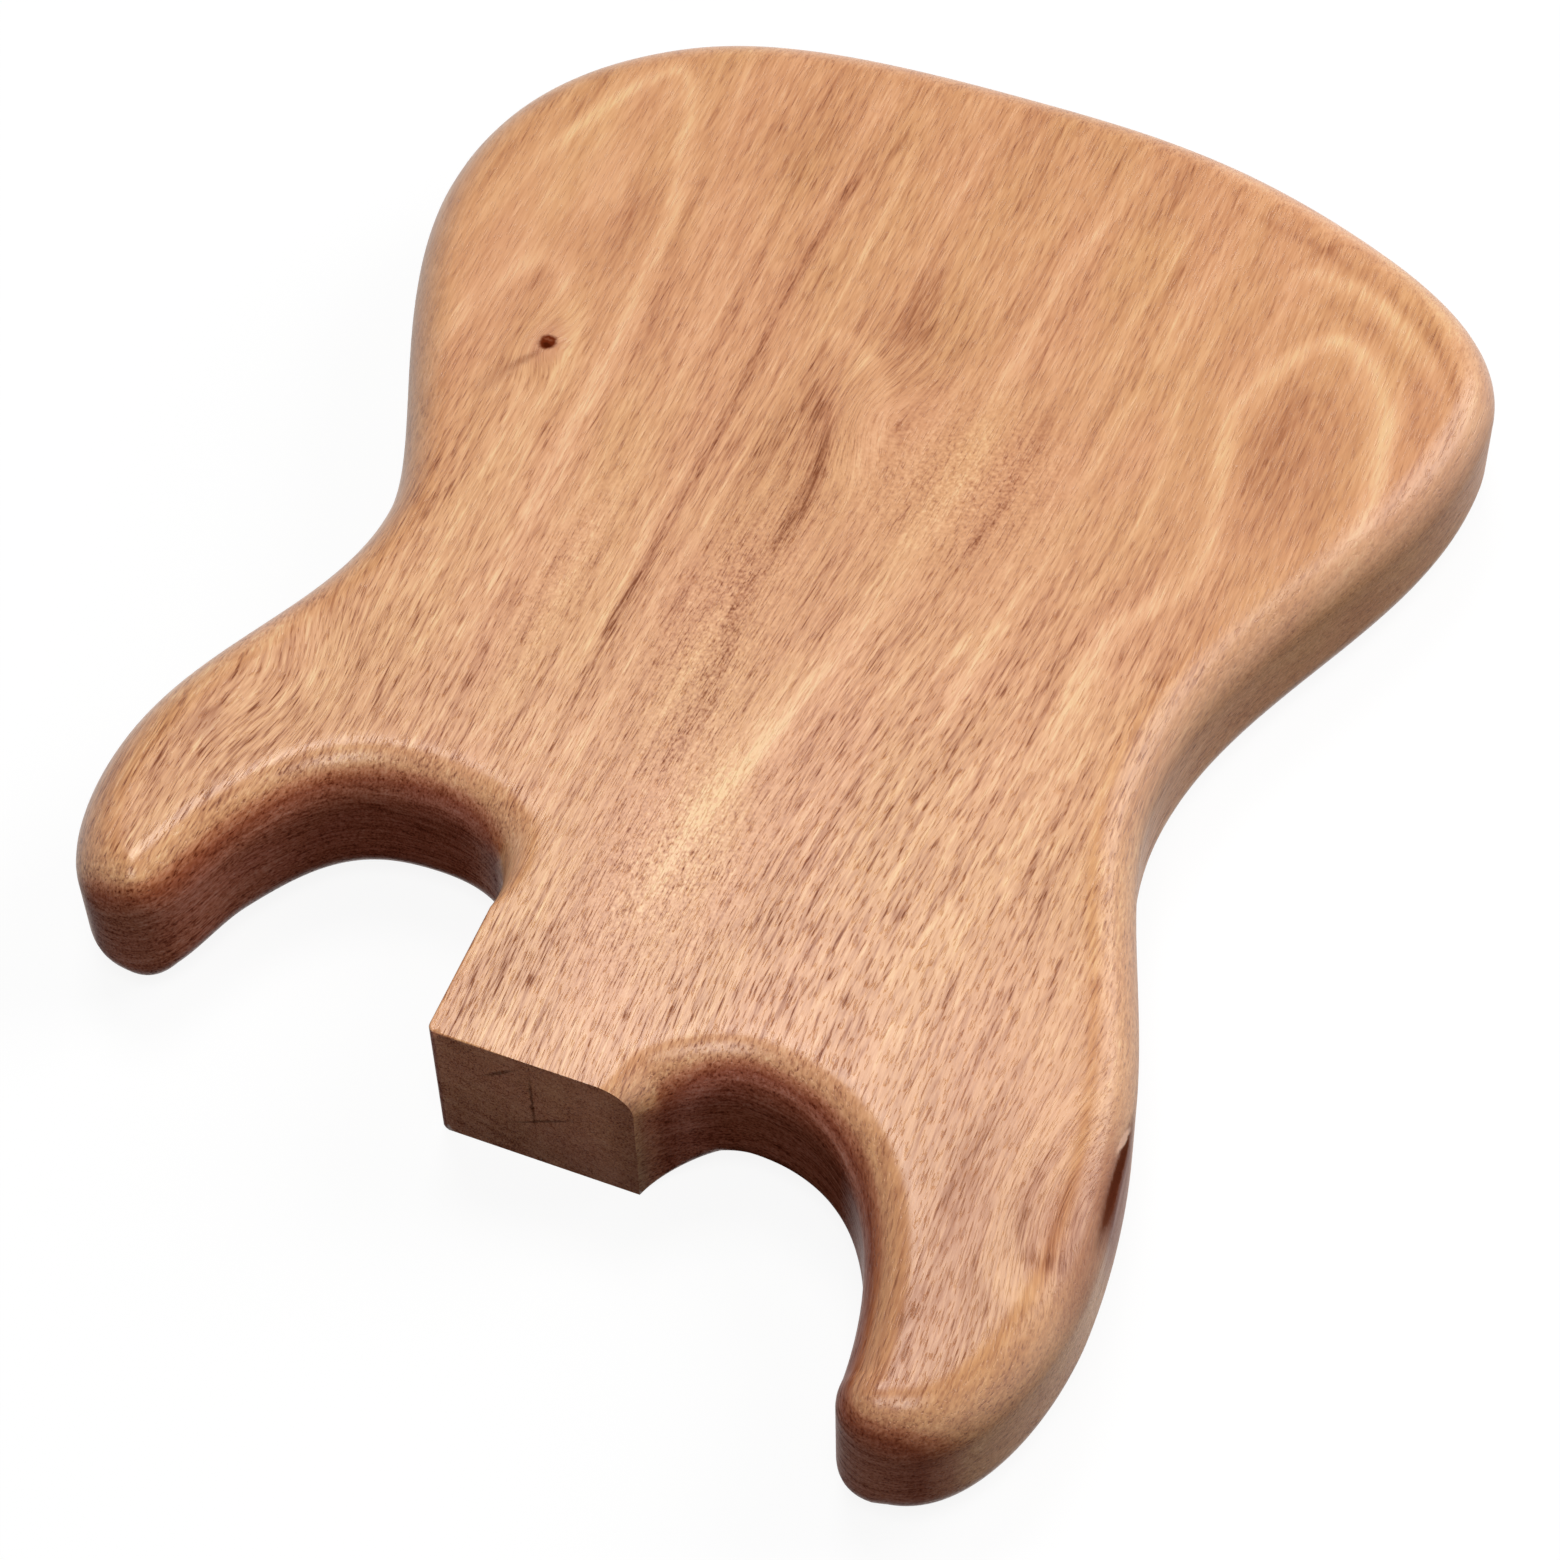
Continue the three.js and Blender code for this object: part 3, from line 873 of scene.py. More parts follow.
# Knot on the long horn's outer edge: two faint stains round it, its disc, its dark upper half, a pale fold, the
# dark rim and its shade, and a painted highlight on the lip of its slit
SIDE_KNOT = (
    Mark("a96a4a", (-135.0, 323.0, 43.0), (4.0, 20.0, 3.2), strength=0.45, softness=0.7),
    Mark("9a5c3e", (-138.5, 346.0, 39.0), (7.0, 12.0, 5.5), strength=0.5, softness=0.7),
    Mark("9a5840", (-139.0, 319.0, 27.0), (9.0, 18.0, 14.5), (5.4, 0.0, 0.0), strength=0.85, softness=0.4),
    Mark("7a3c26", (-139.0, 318.0, 33.5), (9.0, 16.5, 6.5), (5.4, 0.0, 0.0), strength=0.75, softness=0.5),
    Mark("b06a4e", (-140.5, 319.0, 30.5), (9.0, 11.0, 2.0), (5.4, 0.0, 0.0), strength=0.6, softness=0.6),
    Mark("5a2514", (-138.8, 319.0, 38.2), (4.0, 18.0, 2.0), (5.4, 0.0, 6.0), strength=0.85, softness=0.5),
    Mark("6a3220", (-139.0, 327.0, 38.8), (5.0, 10.0, 3.6), (5.4, 0.0, 6.0), strength=0.55, softness=0.7),
    # Painted highlight on the lip of the slit
    Mark("f2bd9c", (-136.6, 308.9, 38.9), (4.0, 5.0, 0.9), (21.0, 0.0, 0.0), strength=0.95, softness=0.35),
)


@dataclass(frozen=True)
class Streaks:
    """Layer of noise drawn out along the grain: its sizes across and along it in mm, its detail and its weight."""

    across: float
    along: float
    weight: float = 1.0
    detail: float = 2.0
    roughness: float = 0.55

    def noise(self, tree: Tree, grain: Socket) -> Socket:
        """Socket with the noise, about one half, at a place in the straight tree in mm."""
        space = vector_maths(tree, "MULTIPLY", grain, (1 / self.across, 1 / self.along, 1 / self.across))
        inputs = {"Vector": space, "Scale": 1.0, "Detail": self.detail, "Roughness": self.roughness}
        return add_node(tree, "ShaderNodeTexNoise", inputs).outputs["Fac"]


@dataclass(frozen=True)
class OiledMahogany:
    """Mahogany, sanded and wiped with oil.

    To the eye: warm orange-brown with paler and redder lines, short dark pores along the grain, a painted sheen that
    makes the leaning edges paler and pinker, a soft sheen on pale wood, and end grain that drinks the oil and goes
    dark and dull, with shade painted into the cutaways and onto the walls that face the glue line.
    """

    name: str
    marks: tuple[Mark, ...] = ()
    # Film over the wood, which only the glue line has
    veil: str = "ffffff"
    # Colours by the tone, and what the oil makes of them by how much is drunk. The deeper steps also paint the
    # shade of the cutaways and of the walls that face the glue line, and their blue partly paints the floor's light in
    # that shade
    tones: Steps = ((0.0, "8a4e2f"), (0.25, "b9784b"), (0.5, "d69763"), (0.75, "e9ae7b"), (1.0, "f4c893"))
    soak_and_shade_colours: Steps = ((0.0, "ffffff"), (0.2, "e2c8cc"), (0.48, "bd939b"), (0.78, "dabedf"), (1.0, "bf9cb2"))
    # Painted sheen on the leaning round-over, paler and pinker
    painted_sheen_colour: str = "f3cbb4"
    painted_sheen_share: float = 0.28
    red_tint: str = "fffafd"
    gold_tint: str = "fefef6"
    middle_tone: float = 0.525
    # Growth rings: how far their lines drift in mm, and the width, detail and weight of their bands
    ring_drift: tuple[Streaks, ...] = (Streaks(34.0, 110.0, 10.0), Streaks(7.0, 34.0, 2.6))
    band_width: float = 7.0
    band_detail: float = 3.0
    band_roughness: float = 0.62
    band_weight: float = 0.5
    # Figure lines: their weight, and where streaks make them fainter
    figure_weight: float = 0.36
    line_breaks: Streaks = Streaks(3.5, 26.0)
    line_range: Span = (0.36, 0.52)
    line_floor: float = 0.82
    # Bundles of fibres: drawn out along the grain, broken up where it curls, and broad ones under both
    long_streaks: tuple[Streaks, ...] = (Streaks(1.6, 34.0, 0.6), Streaks(0.62, 9.0, 1.45))
    flecks: tuple[Streaks, ...] = (Streaks(1.1, 2.0, 1.1), Streaks(0.8, 1.0, 1.3, detail=1.0))
    broad_streaks: tuple[Streaks, ...] = (Streaks(8.0, 60.0, 0.5, detail=3.0),)
    # Pores: real ones are 0.2 mm wide and show in the picture as dashes of half a millimetre, and are drawn so
    pores: Streaks = Streaks(0.5, 5.5, detail=1.0)
    pore_range: Span = (0.55, 0.66)
    pore_weight: float = -0.2
    pore_depth: float = 0.12
    # End grain: level stripes of the cut rings, and a mottle of open fibre ends that drink the oil unevenly
    end_stripes: tuple[Streaks, ...] = (Streaks(0.9, 16.0, 1.5, detail=3.0),)
    mottle: Streaks = Streaks(1.2, 1.8, 0.12, detail=3.0)
    mottle_height: float = 0.3
    # The soak range also takes in the painted shade of the cutaways
    soak_and_shade_range: Span = (0.33, 1.2)
    # Wide areas of a redder and a more golden hue
    hue_areas: Streaks = Streaks(24.0, 70.0)
    hue_range: Span = (0.36, 0.64)
    roughness: float = 0.28
    bump_strength: float = 0.6
    face_specular: float = 0.5
    shine_range: Span = (0.18, 0.6)

    def layered(self, tree: Tree, grain: Socket, base: Any, layers: tuple[Streaks, ...]) -> Socket:
        """Socket with the base plus layers of streaks at a place in the straight tree, in mm."""
        return weighed(tree, base, [(layer.noise(tree, grain), layer.weight) for layer in layers])

    def tone(self, tree: Tree, grain: Socket, pores: Socket) -> Socket:
        """Tone of the wood, from zero for the deepest brown to one for cream.

        Growth rings make bands, and the figure adds its lines. Bundles of fibres make streaks of several sizes, which
        break up into flecks where the grain curls, and pores make dark dashes in them.

        Args:
            tree: The node tree.
            grain: Place in the straight tree, in mm.
            pores: Share of the open pores.

        Returns:
            The socket with the tone.
        """
        ring, figure, curl, contrast = (attribute(tree, name) for name in ("ring", "figure", "curl", "contrast"))
        turns = maths(tree, "MULTIPLY", self.layered(tree, grain, ring, self.ring_drift), 1 / self.band_width)
        inputs = {"W": turns, "Scale": 1.0, "Detail": self.band_detail, "Roughness": self.band_roughness}
        bands = add_node(tree, "ShaderNodeTexNoise", inputs, noise_dimensions="1D").outputs["Fac"]
        mask = mapped(tree, self.line_breaks.noise(tree, grain), self.line_range, (self.line_floor, 1.0))
        drawn = maths(tree, "MULTIPLY", figure, mask)
        straight = self.layered(tree, grain, 0.0, self.long_streaks)
        curled = self.layered(tree, grain, 0.0, self.flecks)
        fibres = add_node(tree, "ShaderNodeMix", {0: curl, 2: straight, 3: curled}, data_type="FLOAT").outputs[0]
        dashes = maths(tree, "MULTIPLY_ADD", pores, self.pore_weight, fibres)
        texture = maths(tree, "MULTIPLY", dashes, contrast)
        total = self.layered(tree, grain, weighed(tree, texture, [(bands, self.band_weight)]), self.broad_streaks)
        return maths(tree, "ADD", maths(tree, "MULTIPLY_ADD", drawn, self.figure_weight, total), self.middle_tone)

    def colour(self, tree: Tree, place: Socket, grain: Socket, tone: Socket, soak_and_shade: Socket) -> Socket:
        """Colour of the wood: its tone with a tint, darkened by oil and painted shade, with painted sheen at the
        edges, and marked.

        Args:
            tree: The node tree.
            place: Place in the sheet, in mm.
            grain: Place in the straight tree, in mm.
            tone: Tone of the wood.
            soak_and_shade: How much oil the wood has drunk, with the painted shade of the cutaways added.

        Returns:
            The socket with the colour.
        """
        stripes = self.layered(tree, self.flat_layers(tree, place), 0.0, self.end_stripes)
        striped = maths(tree, "MULTIPLY_ADD", stripes, soak_and_shade, tone)
        hue = mapped(tree, self.hue_areas.noise(tree, grain), self.hue_range)
        tint = blend(tree, hue, linear(self.red_tint), linear(self.gold_tint))
        tinted = blend(tree, 1.0, ramp(tree, striped, self.tones), tint, "MULTIPLY")
        # Darkened by the oil and by the painted shade of the cutaways
        oiled = blend(tree, 1.0, tinted, ramp(tree, soak_and_shade, self.soak_and_shade_colours), "MULTIPLY")
        # Painted sheen: paler, pinker colour on the leaning round-over, in place of the lamps' highlight
        painted_sheen = maths(tree, "MULTIPLY", attribute(tree, "painted_edge_sheen"), self.painted_sheen_share)
        colour = blend(tree, painted_sheen, oiled, linear(self.painted_sheen_colour))
        for mark in self.marks:
            colour = mark.put_on(tree, self.frayed(tree, place), colour)
        return blend(tree, 1.0, colour, linear(self.veil), "MULTIPLY")

    def material(self, origin: np.ndarray) -> bpy.types.Material:
        """Builds the material.

        Its gloss follows the polish and the paleness of the colour, so dark streaks, knots and end grain are dull.

        Args:
            origin: Place of the sheet's origin in the frame, in mm.

        Returns:
            The material, which reads the attributes that the grain keeps, and Object coordinates.
        """
        made = bpy.data.materials.new(self.name)
        tree = empty_tree(made)
        in_frame = add_node(tree, "ShaderNodeTexCoord").outputs["Object"]
        place = vector_maths(tree, "MULTIPLY_ADD", in_frame, (1 / MM,) * 3, tuple(-origin))
        axes = add_node(tree, "ShaderNodeSeparateXYZ", {0: place}).outputs
        fibre = attribute(tree, "fibre")
        grain = add_node(tree, "ShaderNodeCombineXYZ", {0: fibre, 1: axes[1], 2: axes[2]}).outputs[0]
        pores = mapped(tree, self.pores.noise(tree, grain), self.pore_range, kind="SMOOTHSTEP")
        mottle = self.mottle.noise(tree, grain)
        # The end grain share also carries the painted shade of the cutaways and of the walls that face the glue line
        ends = weighed(tree, attribute(tree, "end_grain_and_shade"), [(mottle, self.mottle.weight)])
        soak_and_shade = mapped(tree, ends, self.soak_and_shade_range)
        colour = self.colour(tree, place, grain, self.tone(tree, grain, pores), soak_and_shade)
        paleness = add_node(tree, "ShaderNodeSeparateColor", {"Color": colour}).outputs["Red"]
        shine = mapped(tree, paleness, self.shine_range, (0.0, self.face_specular))
        relief = {
            "Strength": self.bump_strength,
            "Distance": self.pore_depth * MM,
            "Height": weighed(tree, 0.0, [(pores, -1.0), (mottle, self.mottle_height)]),
        }
        looks = {
            "Base Color": colour,
            "Roughness": self.roughness,
            "Specular IOR Level": maths(tree, "MULTIPLY", attribute(tree, "polish"), shine),
            "Normal": add_node(tree, "ShaderNodeBump", relief).outputs["Normal"],
        }
        shader = add_node(tree, "ShaderNodeBsdfPrincipled", looks)
        add_node(tree, "ShaderNodeOutputMaterial", {"Surface": shader.outputs["BSDF"]})
        return made

    def flat_layers(self, tree: Tree, place: Socket, stretch: float = 40.0) -> Socket:
        """Place in the sheet with height first, for the rings that cut the end grain in level stripes."""
        axes = add_node(tree, "ShaderNodeSeparateXYZ", {0: place}).outputs
        slow = maths(tree, "MULTIPLY", axes[1], 1 / stretch)
        return add_node(tree, "ShaderNodeCombineXYZ", {0: axes[2], 1: axes[0], 2: slow}).outputs[0]

    def frayed(self, tree: Tree, place: Socket, scale: float = 0.6, shake: float = 1.4) -> Socket:
        """Place in the sheet, shaken by about half a millimetre so that marks get ragged edges."""
        noise = add_node(tree, "ShaderNodeTexNoise", {"Vector": place, "Scale": scale, "Detail": 2.0})
        return vector_maths(tree, "MULTIPLY_ADD", noise.outputs["Color"], (shake,) * 3, place)


@dataclass(frozen=True)
class Dent:
    """Hollow in the edge: its middle and half axes along the board and up it, and its depth into the wood, in mm.

    It is on the side that faces away from the glue line, beyond a start with a soft end.
    """

    y: float
    z: float
    along: float
    upward: float
    depth: float
    start: float = 125.0
    start_ease: float = 3.0

    def at(self, places: np.ndarray) -> np.ndarray:
        """Depth at the places: a bell curve of the way from the middle in half axes, beyond the start."""
        d = ((places[..., 1] - self.y) / self.along) ** 2 + ((places[..., 2] - self.z) / self.upward) ** 2
        return self.depth * np.exp(-d) * soft_step(places[..., 0] - self.start, self.start_ease)


@dataclass(kw_only=True)
class Piece:
    """Piece of the body: a closed surface that keeps the run of the grain, is dressed, and stands for its solid."""

    name: str
    slot_name: str
    stuff: str
    side: Side = Side.TREBLE
    heel_end_share: float = 0.5

    def surface(self) -> Surface:
        """Closed surface of the piece on the treble side of the glue line, in mm."""
        raise NotImplementedError

    def build(self, origin: np.ndarray, grain: Grain, finish: OiledMahogany) -> bpy.types.Object:
        """Builds the piece and dresses it.

        Args:
            origin: Place of the tail end of the glue line in the frame, in mm.
            grain: Run of the grain.
            finish: The finish.

        Returns:
            The piece, which stands for its solid.
        """
        mesh = self.surface().mesh(f"{self.name}_{self.stuff}", self.side is Side.BASS, origin)
        grain.keep_on(mesh, origin, self.heel_end_share)
        mesh.materials.append(finish.material(origin))
        return placed(mesh, self.name)


@dataclass(kw_only=True)
class Board(Piece):
    """One board of the body, as a closed surface: an edge carried along the outline, and flat faces that close it.

    The section of the edge is a quarter round at the back, the wall, and a quarter round at the front. Its radii
    are kept under the room that the outline leaves, and die away along the heel.
    """

    stuff: str = "wood"
    reach: float
    cutaway_centre: float
    cutaway_depth: float
    horn_length: float
    tip_inset: float
    nose_width: float
    nose_drop: float
    waist_reach: float
    waist_height: float
    bout_height: float
    tail_rise: float
    shoulder_share: float
    tail_corner_share: float = 0.718
    room_share: float = 0.9
    growth_share: float = 0.6
    crisp_ease: float = 0.6
    front_start: float = 0.0
    dents: tuple[Dent, ...] = ()
    spacing: float = 1.0
    face_spacing: float = 1.6
    glue_face_spacing: float = 6.4
    quarter_steps: int = 12
    wall_steps: int = 14

    def nodes(self) -> list[OutlineNode]:
        """Nodes of the board's outline, from the heel end to the tail."""
        raise NotImplementedError

    def floor(self) -> float:
        """Height of the cutaway's floor over the tail end."""
        return HEEL_REACH - self.cutaway_depth

    def tip(self) -> float:
        """Height of the horn's tip over the tail end."""
        return self.floor() + self.horn_length

    def radii(self, stations: Stations, start: float) -> np.ndarray:
        """Radius of a round-over at each station.

        It is the least of what every other station allows: that one's wanted radius plus the growth share of the
        way between them.

        Args:
            stations: Places along the outline.
            start: Radius at the first station.

        Returns:
            The radii in mm.
        """
        wanted = np.where(stations.crisp, self.crisp_ease, ROUND_OVER)
        wanted = np.minimum(wanted, self.room_share * stations.room())
        wanted[0] = start
        way = np.abs(stations.run[:, None] - stations.run[None, :])
        radii = (wanted[None, :] + self.growth_share * way).min(axis=1)
        radii[0] = start
        return radii

    def edge(self, stations: Stations, back: np.ndarray, front: np.ndarray) -> np.ndarray:
        """Grid of the edge, with a row for each station and a column for each place on the section.

        A quarter round of radius r at the angle a is set in by r (1 - sin a) and rises by r (1 - cos a). The wall
        climbs straight between the two, and the dents push it in. The first row is drawn on to the heel's plane,
        and the last to the glue.

        Args:
            stations: Places along the outline.
            back: Radii of the back round-over.
            front: Radii of the front round-over.

        Returns:
            Places by station and section place.
        """
        inward, rise = quarter_round(self.quarter_steps)
        wall = np.linspace(0, 1, self.wall_steps + 1)[None, 1:-1]
        back, front = back[:, None], front[:, None]
        climb = back + (THICKNESS - front - back) * wall
        inset = np.concatenate([back * inward, 0 * climb, front * rise], axis=1)
        height = np.concatenate([back * rise, climb, THICKNESS - front * inward], axis=1)
        flat = stations.points[:, None, :] + stations.into_wood()[:, None, :] * inset[:, :, None]
        grid = np.concatenate([flat, height[:, :, None]], axis=2)
        for dent in self.dents:
            grid[:, :, :2] += dent.at(grid)[:, :, None] * stations.into_wood()[:, None, :]
        tangent = stations.tangents[0]
        run_on = np.where(inset[0] > 0, (HEEL_REACH - grid[0, :, 1]) / tangent[1], 0.0)
        grid[0, :, 0] += tangent[0] * run_on
        grid[0, :, 1] = HEEL_REACH
        grid[-1, :, 0] = GLUE_FILM / 2
        return grid

    def surface(self) -> Surface:
        """Makes the edge and the flat faces that close it.

        Returns:
            Closed surface of the board on the treble side of the glue line, in mm.
        """
        stations = walk_outline(self.nodes(), self.spacing)
        back, front = self.radii(stations, 0.0), self.radii(stations, self.front_start)
        grid = self.edge(stations, back, front)
        seam_x = GLUE_FILM / 2
        seam_top, seam_foot = np.array([[seam_x, HEEL_REACH, THICKNESS]]), np.array([[seam_x, HEEL_REACH, 0.0]])
        made = Surface()
        made.add_grid(grid, turn_over=True)
        made.add_cap(np.concatenate([grid[:, -1], seam_top]), (0, 1), self.face_spacing)
        made.add_cap(np.concatenate([grid[:, 0], seam_foot]), (0, 1), self.face_spacing, turn_over=True)
        made.add_cap(np.concatenate([grid[0], seam_top, seam_foot]), (0, 2), self.face_spacing, turn_over=True)
        made.add_cap(np.concatenate([grid[-1], seam_top, seam_foot]), (1, 2), self.glue_face_spacing, turn_over=True)
        return made


@dataclass(kw_only=True)
class GlueLine(Piece):
    """Film of cured glue between the boards, cut to the outline of their glue faces; the grain shows through it."""

    name: str = "glue_line"
    slot_name: str = "cured_glue"
    stuff: str = "film"
    quarter_steps: int = 12
    spacing: float = 2.0
    side_spacing: float = 8.0

    def loop(self) -> np.ndarray:
        """Draws the film's outline: a quarter round at each tail corner, then straight to the heel.

        Returns:
            Corners of the outline along y and z.
        """
        inward, rise = quarter_round(self.quarter_steps)
        back = ROUND_OVER * np.stack([inward, rise], axis=1)
        front = np.stack([ROUND_OVER * rise, THICKNESS - ROUND_OVER * inward], axis=1)
        way = np.arange(ROUND_OVER + self.spacing, HEEL_REACH, self.spacing)
        top = np.stack([way, np.full(len(way), THICKNESS)], axis=1)
        foot = np.stack([way[::-1], np.zeros(len(way))], axis=1)
        heel = np.array([[HEEL_REACH, THICKNESS], [HEEL_REACH, 0.0]])
        return np.concatenate([back, front, top, heel, foot])

    def surface(self) -> Surface:
        """Makes the film's rim and its two sides.

        Returns:
            Closed surface of the film, in mm.
        """
        loop = self.loop()
        sides = [np.insert(loop, 0, x, axis=1) for x in (-GLUE_FILM / 2, GLUE_FILM / 2)]
        made = Surface()
        made.add_grid(np.stack([np.concatenate([side, side[:1]]) for side in sides], axis=1))
        for side in sides:
            made.add_cap(side, (1, 2), self.side_spacing)
        return made


@dataclass(kw_only=True)
class TrebleBoard(Board):
    """Board with the short horn, the crisp side of the heel and the pin knot."""

    heel_corner: float = 2.2
    heel_side_length: float = 35.5
    throat_width: float = 20.5
    throat_share: float = 0.51
    throat_heading: float = 60.0
    nose_heading: float = 58.0
    tail_heading: float = -147.0

    def nodes(self) -> list[OutlineNode]:
        """Places the nodes of the board's outline.

        Returns:
            The nodes, from the heel end to the tail.
        """
        half = HEEL_WIDTH / 2
        side_end = HEEL_REACH - self.heel_corner
        tip_centre = self.reach - self.tip_inset
        out, down, back = (heading.value for heading in Heading)
        return [
            OutlineNode(half - self.heel_corner, HEEL_REACH, out, 0, 0.4, crisp=True),
            OutlineNode(half, side_end, down, 0.4, 0.22, crisp=True),
            OutlineNode(half, side_end - self.heel_side_length, down, 0.3, 0.4),
            OutlineNode(self.cutaway_centre, self.floor(), out, 0.5, 0.4),
            OutlineNode(
                tip_centre - self.throat_width,
                self.tip() - self.horn_length * self.throat_share,
                self.throat_heading,
                0.5,
                0.3,
            ),
            OutlineNode(tip_centre - self.nose_width, self.tip() - self.nose_drop, self.nose_heading, 0.3, 0.35),
            OutlineNode(tip_centre, self.tip(), out, 0.4, 0.35),
            OutlineNode(self.reach, self.tip() - self.horn_length * self.shoulder_share, down, 0.4, 0.4),
            OutlineNode(self.waist_reach, self.waist_height, down, 0.35, 0.2),
            OutlineNode(self.reach, self.bout_height, down, 0.35, 0.43),
            OutlineNode(self.reach * self.tail_corner_share, self.tail_rise, self.tail_heading, 0.32, 0.25),
            OutlineNode(GLUE_FILM / 2, 0, back, 0.5, 0),
        ]


@dataclass(kw_only=True)
class BassBoard(Board):
    """Board with the long horn, whose cutaway breaks out of the heel end, and the side knot."""

    horn_tuck: float = 12.5
    breakout_heading: float = -62.0
    nose_heading: float = 89.0
    tail_heading: float = -156.0

    def nodes(self) -> list[OutlineNode]:
        """Places the nodes of the board's outline.

        Returns:
            The nodes, from the heel end to the tail.
        """
        horn_reach = self.reach - self.horn_tuck
        tip_centre = horn_reach - self.tip_inset
        out, down, back = (heading.value for heading in Heading)
        return [
            OutlineNode(HEEL_WIDTH / 2, HEEL_REACH, self.breakout_heading, 0, 0.25),
            OutlineNode(self.cutaway_centre, self.floor(), out, 0.32, 0.55),
            OutlineNode(tip_centre - self.nose_width, self.tip() - self.nose_drop, self.nose_heading, 0.1, 0.55),
            OutlineNode(tip_centre, self.tip(), out, 0.3, 0.38),
            OutlineNode(horn_reach, self.tip() - self.horn_length * self.shoulder_share, down, 0.3, 0.47),
            OutlineNode(self.waist_reach, self.waist_height, down, 0.28, 0.36),
            OutlineNode(self.reach, self.bout_height, down, 0.35, 0.4),
            OutlineNode(self.reach * self.tail_corner_share, self.tail_rise, self.tail_heading, 0.28, 0.43),
            OutlineNode(GLUE_FILM / 2, 0, back, 0.33, 0),
        ]


@dataclass(frozen=True)
class PhotoView:
    """Camera of the photograph: its bearing, height angle and roll in degrees, its sizes, and its range in m."""

    azimuth: float = 203.1
    elevation: float = 54.71
    roll: float = -1.68
    distance: float = 1109.3
    focal_pixels: float = 4395.7
    target: tuple[float, float, float] = (-9.6, 29.4, 22.5)
    nearest: float = 0.05
    farthest: float = 20.0

    def build(self) -> bpy.types.Object:
        """Makes the camera and looks through it.

        Returns:
            The camera.
        """
        r = math.radians(self.roll)
        back = towards(self.azimuth, self.elevation)
        right = (-back).cross(Vector((0, 0, 1))).normalized()
        up = right.cross(-back)
        rolled_right = right * math.cos(r) + up * math.sin(r)
        rolled_up = up * math.cos(r) - right * math.sin(r)
        lens = bpy.data.cameras.new("photo_view")
        lens.sensor_width = SENSOR_WIDTH
        lens.lens = self.focal_pixels / IMAGE_SIDE * SENSOR_WIDTH
        lens.clip_start, lens.clip_end = self.nearest, self.farthest
        camera = put_in_scene("photo_view", lens)
        turn = Matrix((rolled_right, rolled_up, back)).transposed().to_4x4()
        camera.matrix_world = Matrix.Translation((Vector(self.target) + back * self.distance) * MM) @ turn
        bpy.context.scene.camera = camera
        return camera


@dataclass(frozen=True)
class Softbox:
    """Square soft lamp that looks at the middle of the body: its bearing, its height angle, way, side and power."""

    name: str
    azimuth: float
    elevation: float
    distance: float
    side: float
    power: float

    def build(self) -> bpy.types.Object:
        """Makes the lamp and turns it to the body.

        Returns:
            The lamp.
        """
        back = towards(self.azimuth, self.elevation)
        lamp = bpy.data.lights.new(self.name, "AREA")
        lamp.shape, lamp.size, lamp.energy = "SQUARE", self.side * MM, self.power
        made = put_in_scene(self.name, lamp)
        made.location = back * self.distance * MM
        made.rotation_mode = "QUATERNION"
        made.rotation_quaternion = (-back).to_track_quat("-Z", "Y")
        return made


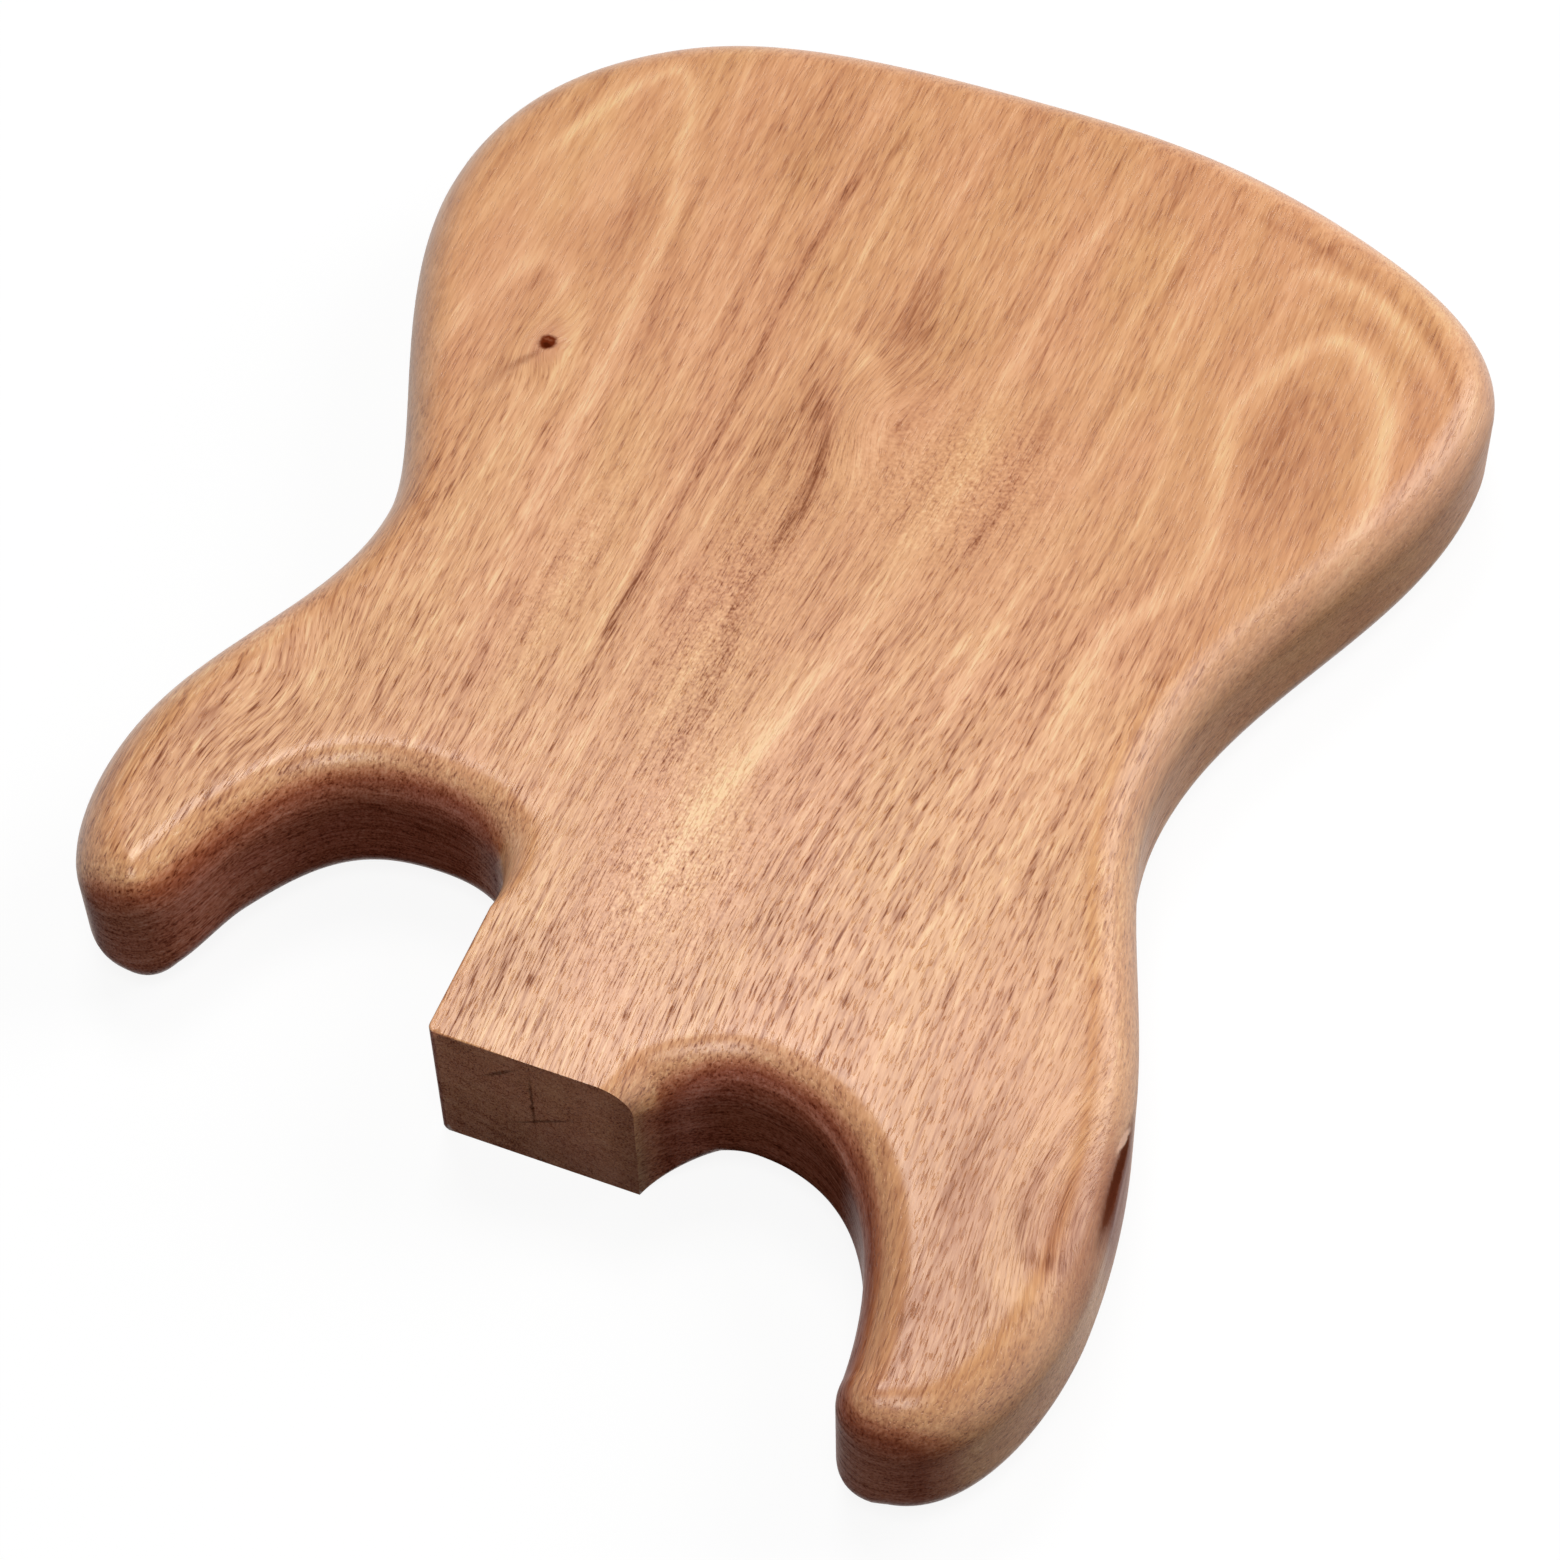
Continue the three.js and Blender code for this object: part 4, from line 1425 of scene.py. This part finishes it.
@dataclass(frozen=True)
class Studio:
    """Plain floor, white surroundings and three soft lamps.

    The face mirrors the key lamp as a pale haze over its heel third, the top lamp makes the haze on the crests that
    look to the heel, and the side lamp lights the round-over of the waist and the bass bout.
    """

    floor_side: float = 8000.0
    floor_drop: float = 0.2
    # The floor throws grey light on the body, and the camera sees it white with a faint shadow
    floor_colour: str = "6e6e6e"
    floor_white: float = 0.12
    ambient: float = 0.1
    glow: float = 0.9
    softboxes: tuple[Softbox, ...] = (
        Softbox("key", azimuth=30.0, elevation=66.0, distance=2600.0, side=800.0, power=20.3),
        Softbox("side", azimuth=-46.0, elevation=38.0, distance=2200.0, side=1400.0, power=24.5),
        Softbox("top", azimuth=195.0, elevation=74.0, distance=2200.0, side=760.0, power=13.5),
    )

    def seen_share(self, tree: Tree) -> Socket:
        """Socket that is one for rays that show the background: camera, glossy and transmission rays."""
        rays = add_node(tree, "ShaderNodeLightPath").outputs
        mirrored = maths(tree, "ADD", rays["Is Camera Ray"], rays["Is Glossy Ray"])
        return maths(tree, "ADD", mirrored, rays["Is Transmission Ray"], clamp=True)

    def build(self) -> bpy.types.Object:
        """Makes the floor, the world and the lamps.

        Returns:
            The floor.
        """
        half = self.floor_side / 2
        corners = [(-half, -half), (half, -half), (half, half), (-half, half)]
        mesh = bpy.data.meshes.new("floor")
        mesh.from_pydata([(x * MM, y * MM, -self.floor_drop * MM) for x, y in corners], [], [(0, 1, 2, 3)])
        mesh.materials.append(self.floor_material())
        floor = put_in_scene("floor", mesh)
        world = bpy.data.worlds.new("surroundings")
        tree = empty_tree(world)
        strength = mapped(tree, self.seen_share(tree), (0.0, 1.0), (self.ambient, 1.0))
        light = add_node(tree, "ShaderNodeBackground", {"Color": (1, 1, 1, 1), "Strength": strength})
        add_node(tree, "ShaderNodeOutputWorld", {"Surface": light.outputs[0]})
        bpy.context.scene.world = world
        for softbox in self.softboxes:
            softbox.build()
        return floor

    def floor_material(self) -> bpy.types.Material:
        """Makes the matte floor's look: white with the body's shadow on it, and grey in the light that it throws back.

        Returns:
            The material.
        """
        made = bpy.data.materials.new("matte_white_floor")
        tree = empty_tree(made)
        grey = add_node(tree, "ShaderNodeBsdfDiffuse", {"Color": linear(self.floor_colour)})
        white = add_node(tree, "ShaderNodeBsdfDiffuse", {"Color": (self.floor_white,) * 3 + (1.0,)})
        glow = add_node(tree, "ShaderNodeEmission", {"Color": (1, 1, 1, 1), "Strength": self.glow})
        both = add_node(tree, "ShaderNodeAddShader", {0: white.outputs[0], 1: glow.outputs[0]})
        inputs = {0: self.seen_share(tree), 1: grey.outputs[0], 2: both.outputs[0]}
        seen = add_node(tree, "ShaderNodeMixShader", inputs)
        add_node(tree, "ShaderNodeOutputMaterial", {"Surface": seen.outputs[0]})
        return made


def main() -> None:
    """Builds the camera, the studio and the pieces."""
    logging.basicConfig(level=logging.INFO, format="%(name)s: %(message)s")
    bpy.context.scene.view_settings.view_transform = "Standard"
    PhotoView().build()
    Studio().build()
    treble = TrebleBoard(
        name="treble_board",
        slot_name="treble_wood",
        side=Side.TREBLE,
        reach=136.5,
        cutaway_centre=55.5,
        cutaway_depth=63.5,
        horn_length=55.0,
        tip_inset=20.5,
        nose_width=11.5,
        nose_drop=6.5,
        waist_reach=104.5,
        waist_height=197.5,
        bout_height=87.0,
        tail_rise=18.0,
        shoulder_share=0.675,
    )
    bass = BassBoard(
        name="bass_board",
        slot_name="bass_wood",
        side=Side.BASS,
        reach=155.0,
        cutaway_centre=50.0,
        cutaway_depth=15.5,
        horn_length=75.5,
        tip_inset=33.0,
        nose_width=12.5,
        nose_drop=13.5,
        waist_reach=111.5,
        waist_height=211.0,
        bout_height=68.0,
        tail_rise=20.0,
        shoulder_share=0.745,
        front_start=8.5,
        dents=(
            Dent(y=318.0, z=34.0, along=15.0, upward=9.0, depth=0.9),
            Dent(y=321.0, z=37.6, along=14.0, upward=1.8, depth=0.5),
        ),
    )
    origin = np.array([(bass.reach - treble.reach) / 2, -bass.tip() / 2, 0.0])
    grain = Grain()
    for part, finish in (
        (treble, OiledMahogany("oiled_mahogany_treble", marks=PIN_KNOT + HEEL_MARKS)),
        (bass, OiledMahogany("oiled_mahogany_bass", marks=SIDE_KNOT + HEEL_MARKS)),
        # A film of glue this thin is see-through, so the eye sees the wood's tone through it, a shade darker
        (GlueLine(), OiledMahogany("glue_over_mahogany", marks=HEEL_MARKS, veil="efe6de")),
    ):
        piece = part.build(origin, grain, finish)
        log.info("%s: %d vertices, %d faces", piece.name, len(piece.data.vertices), len(piece.data.polygons))


if __name__ == "__main__":
    main()
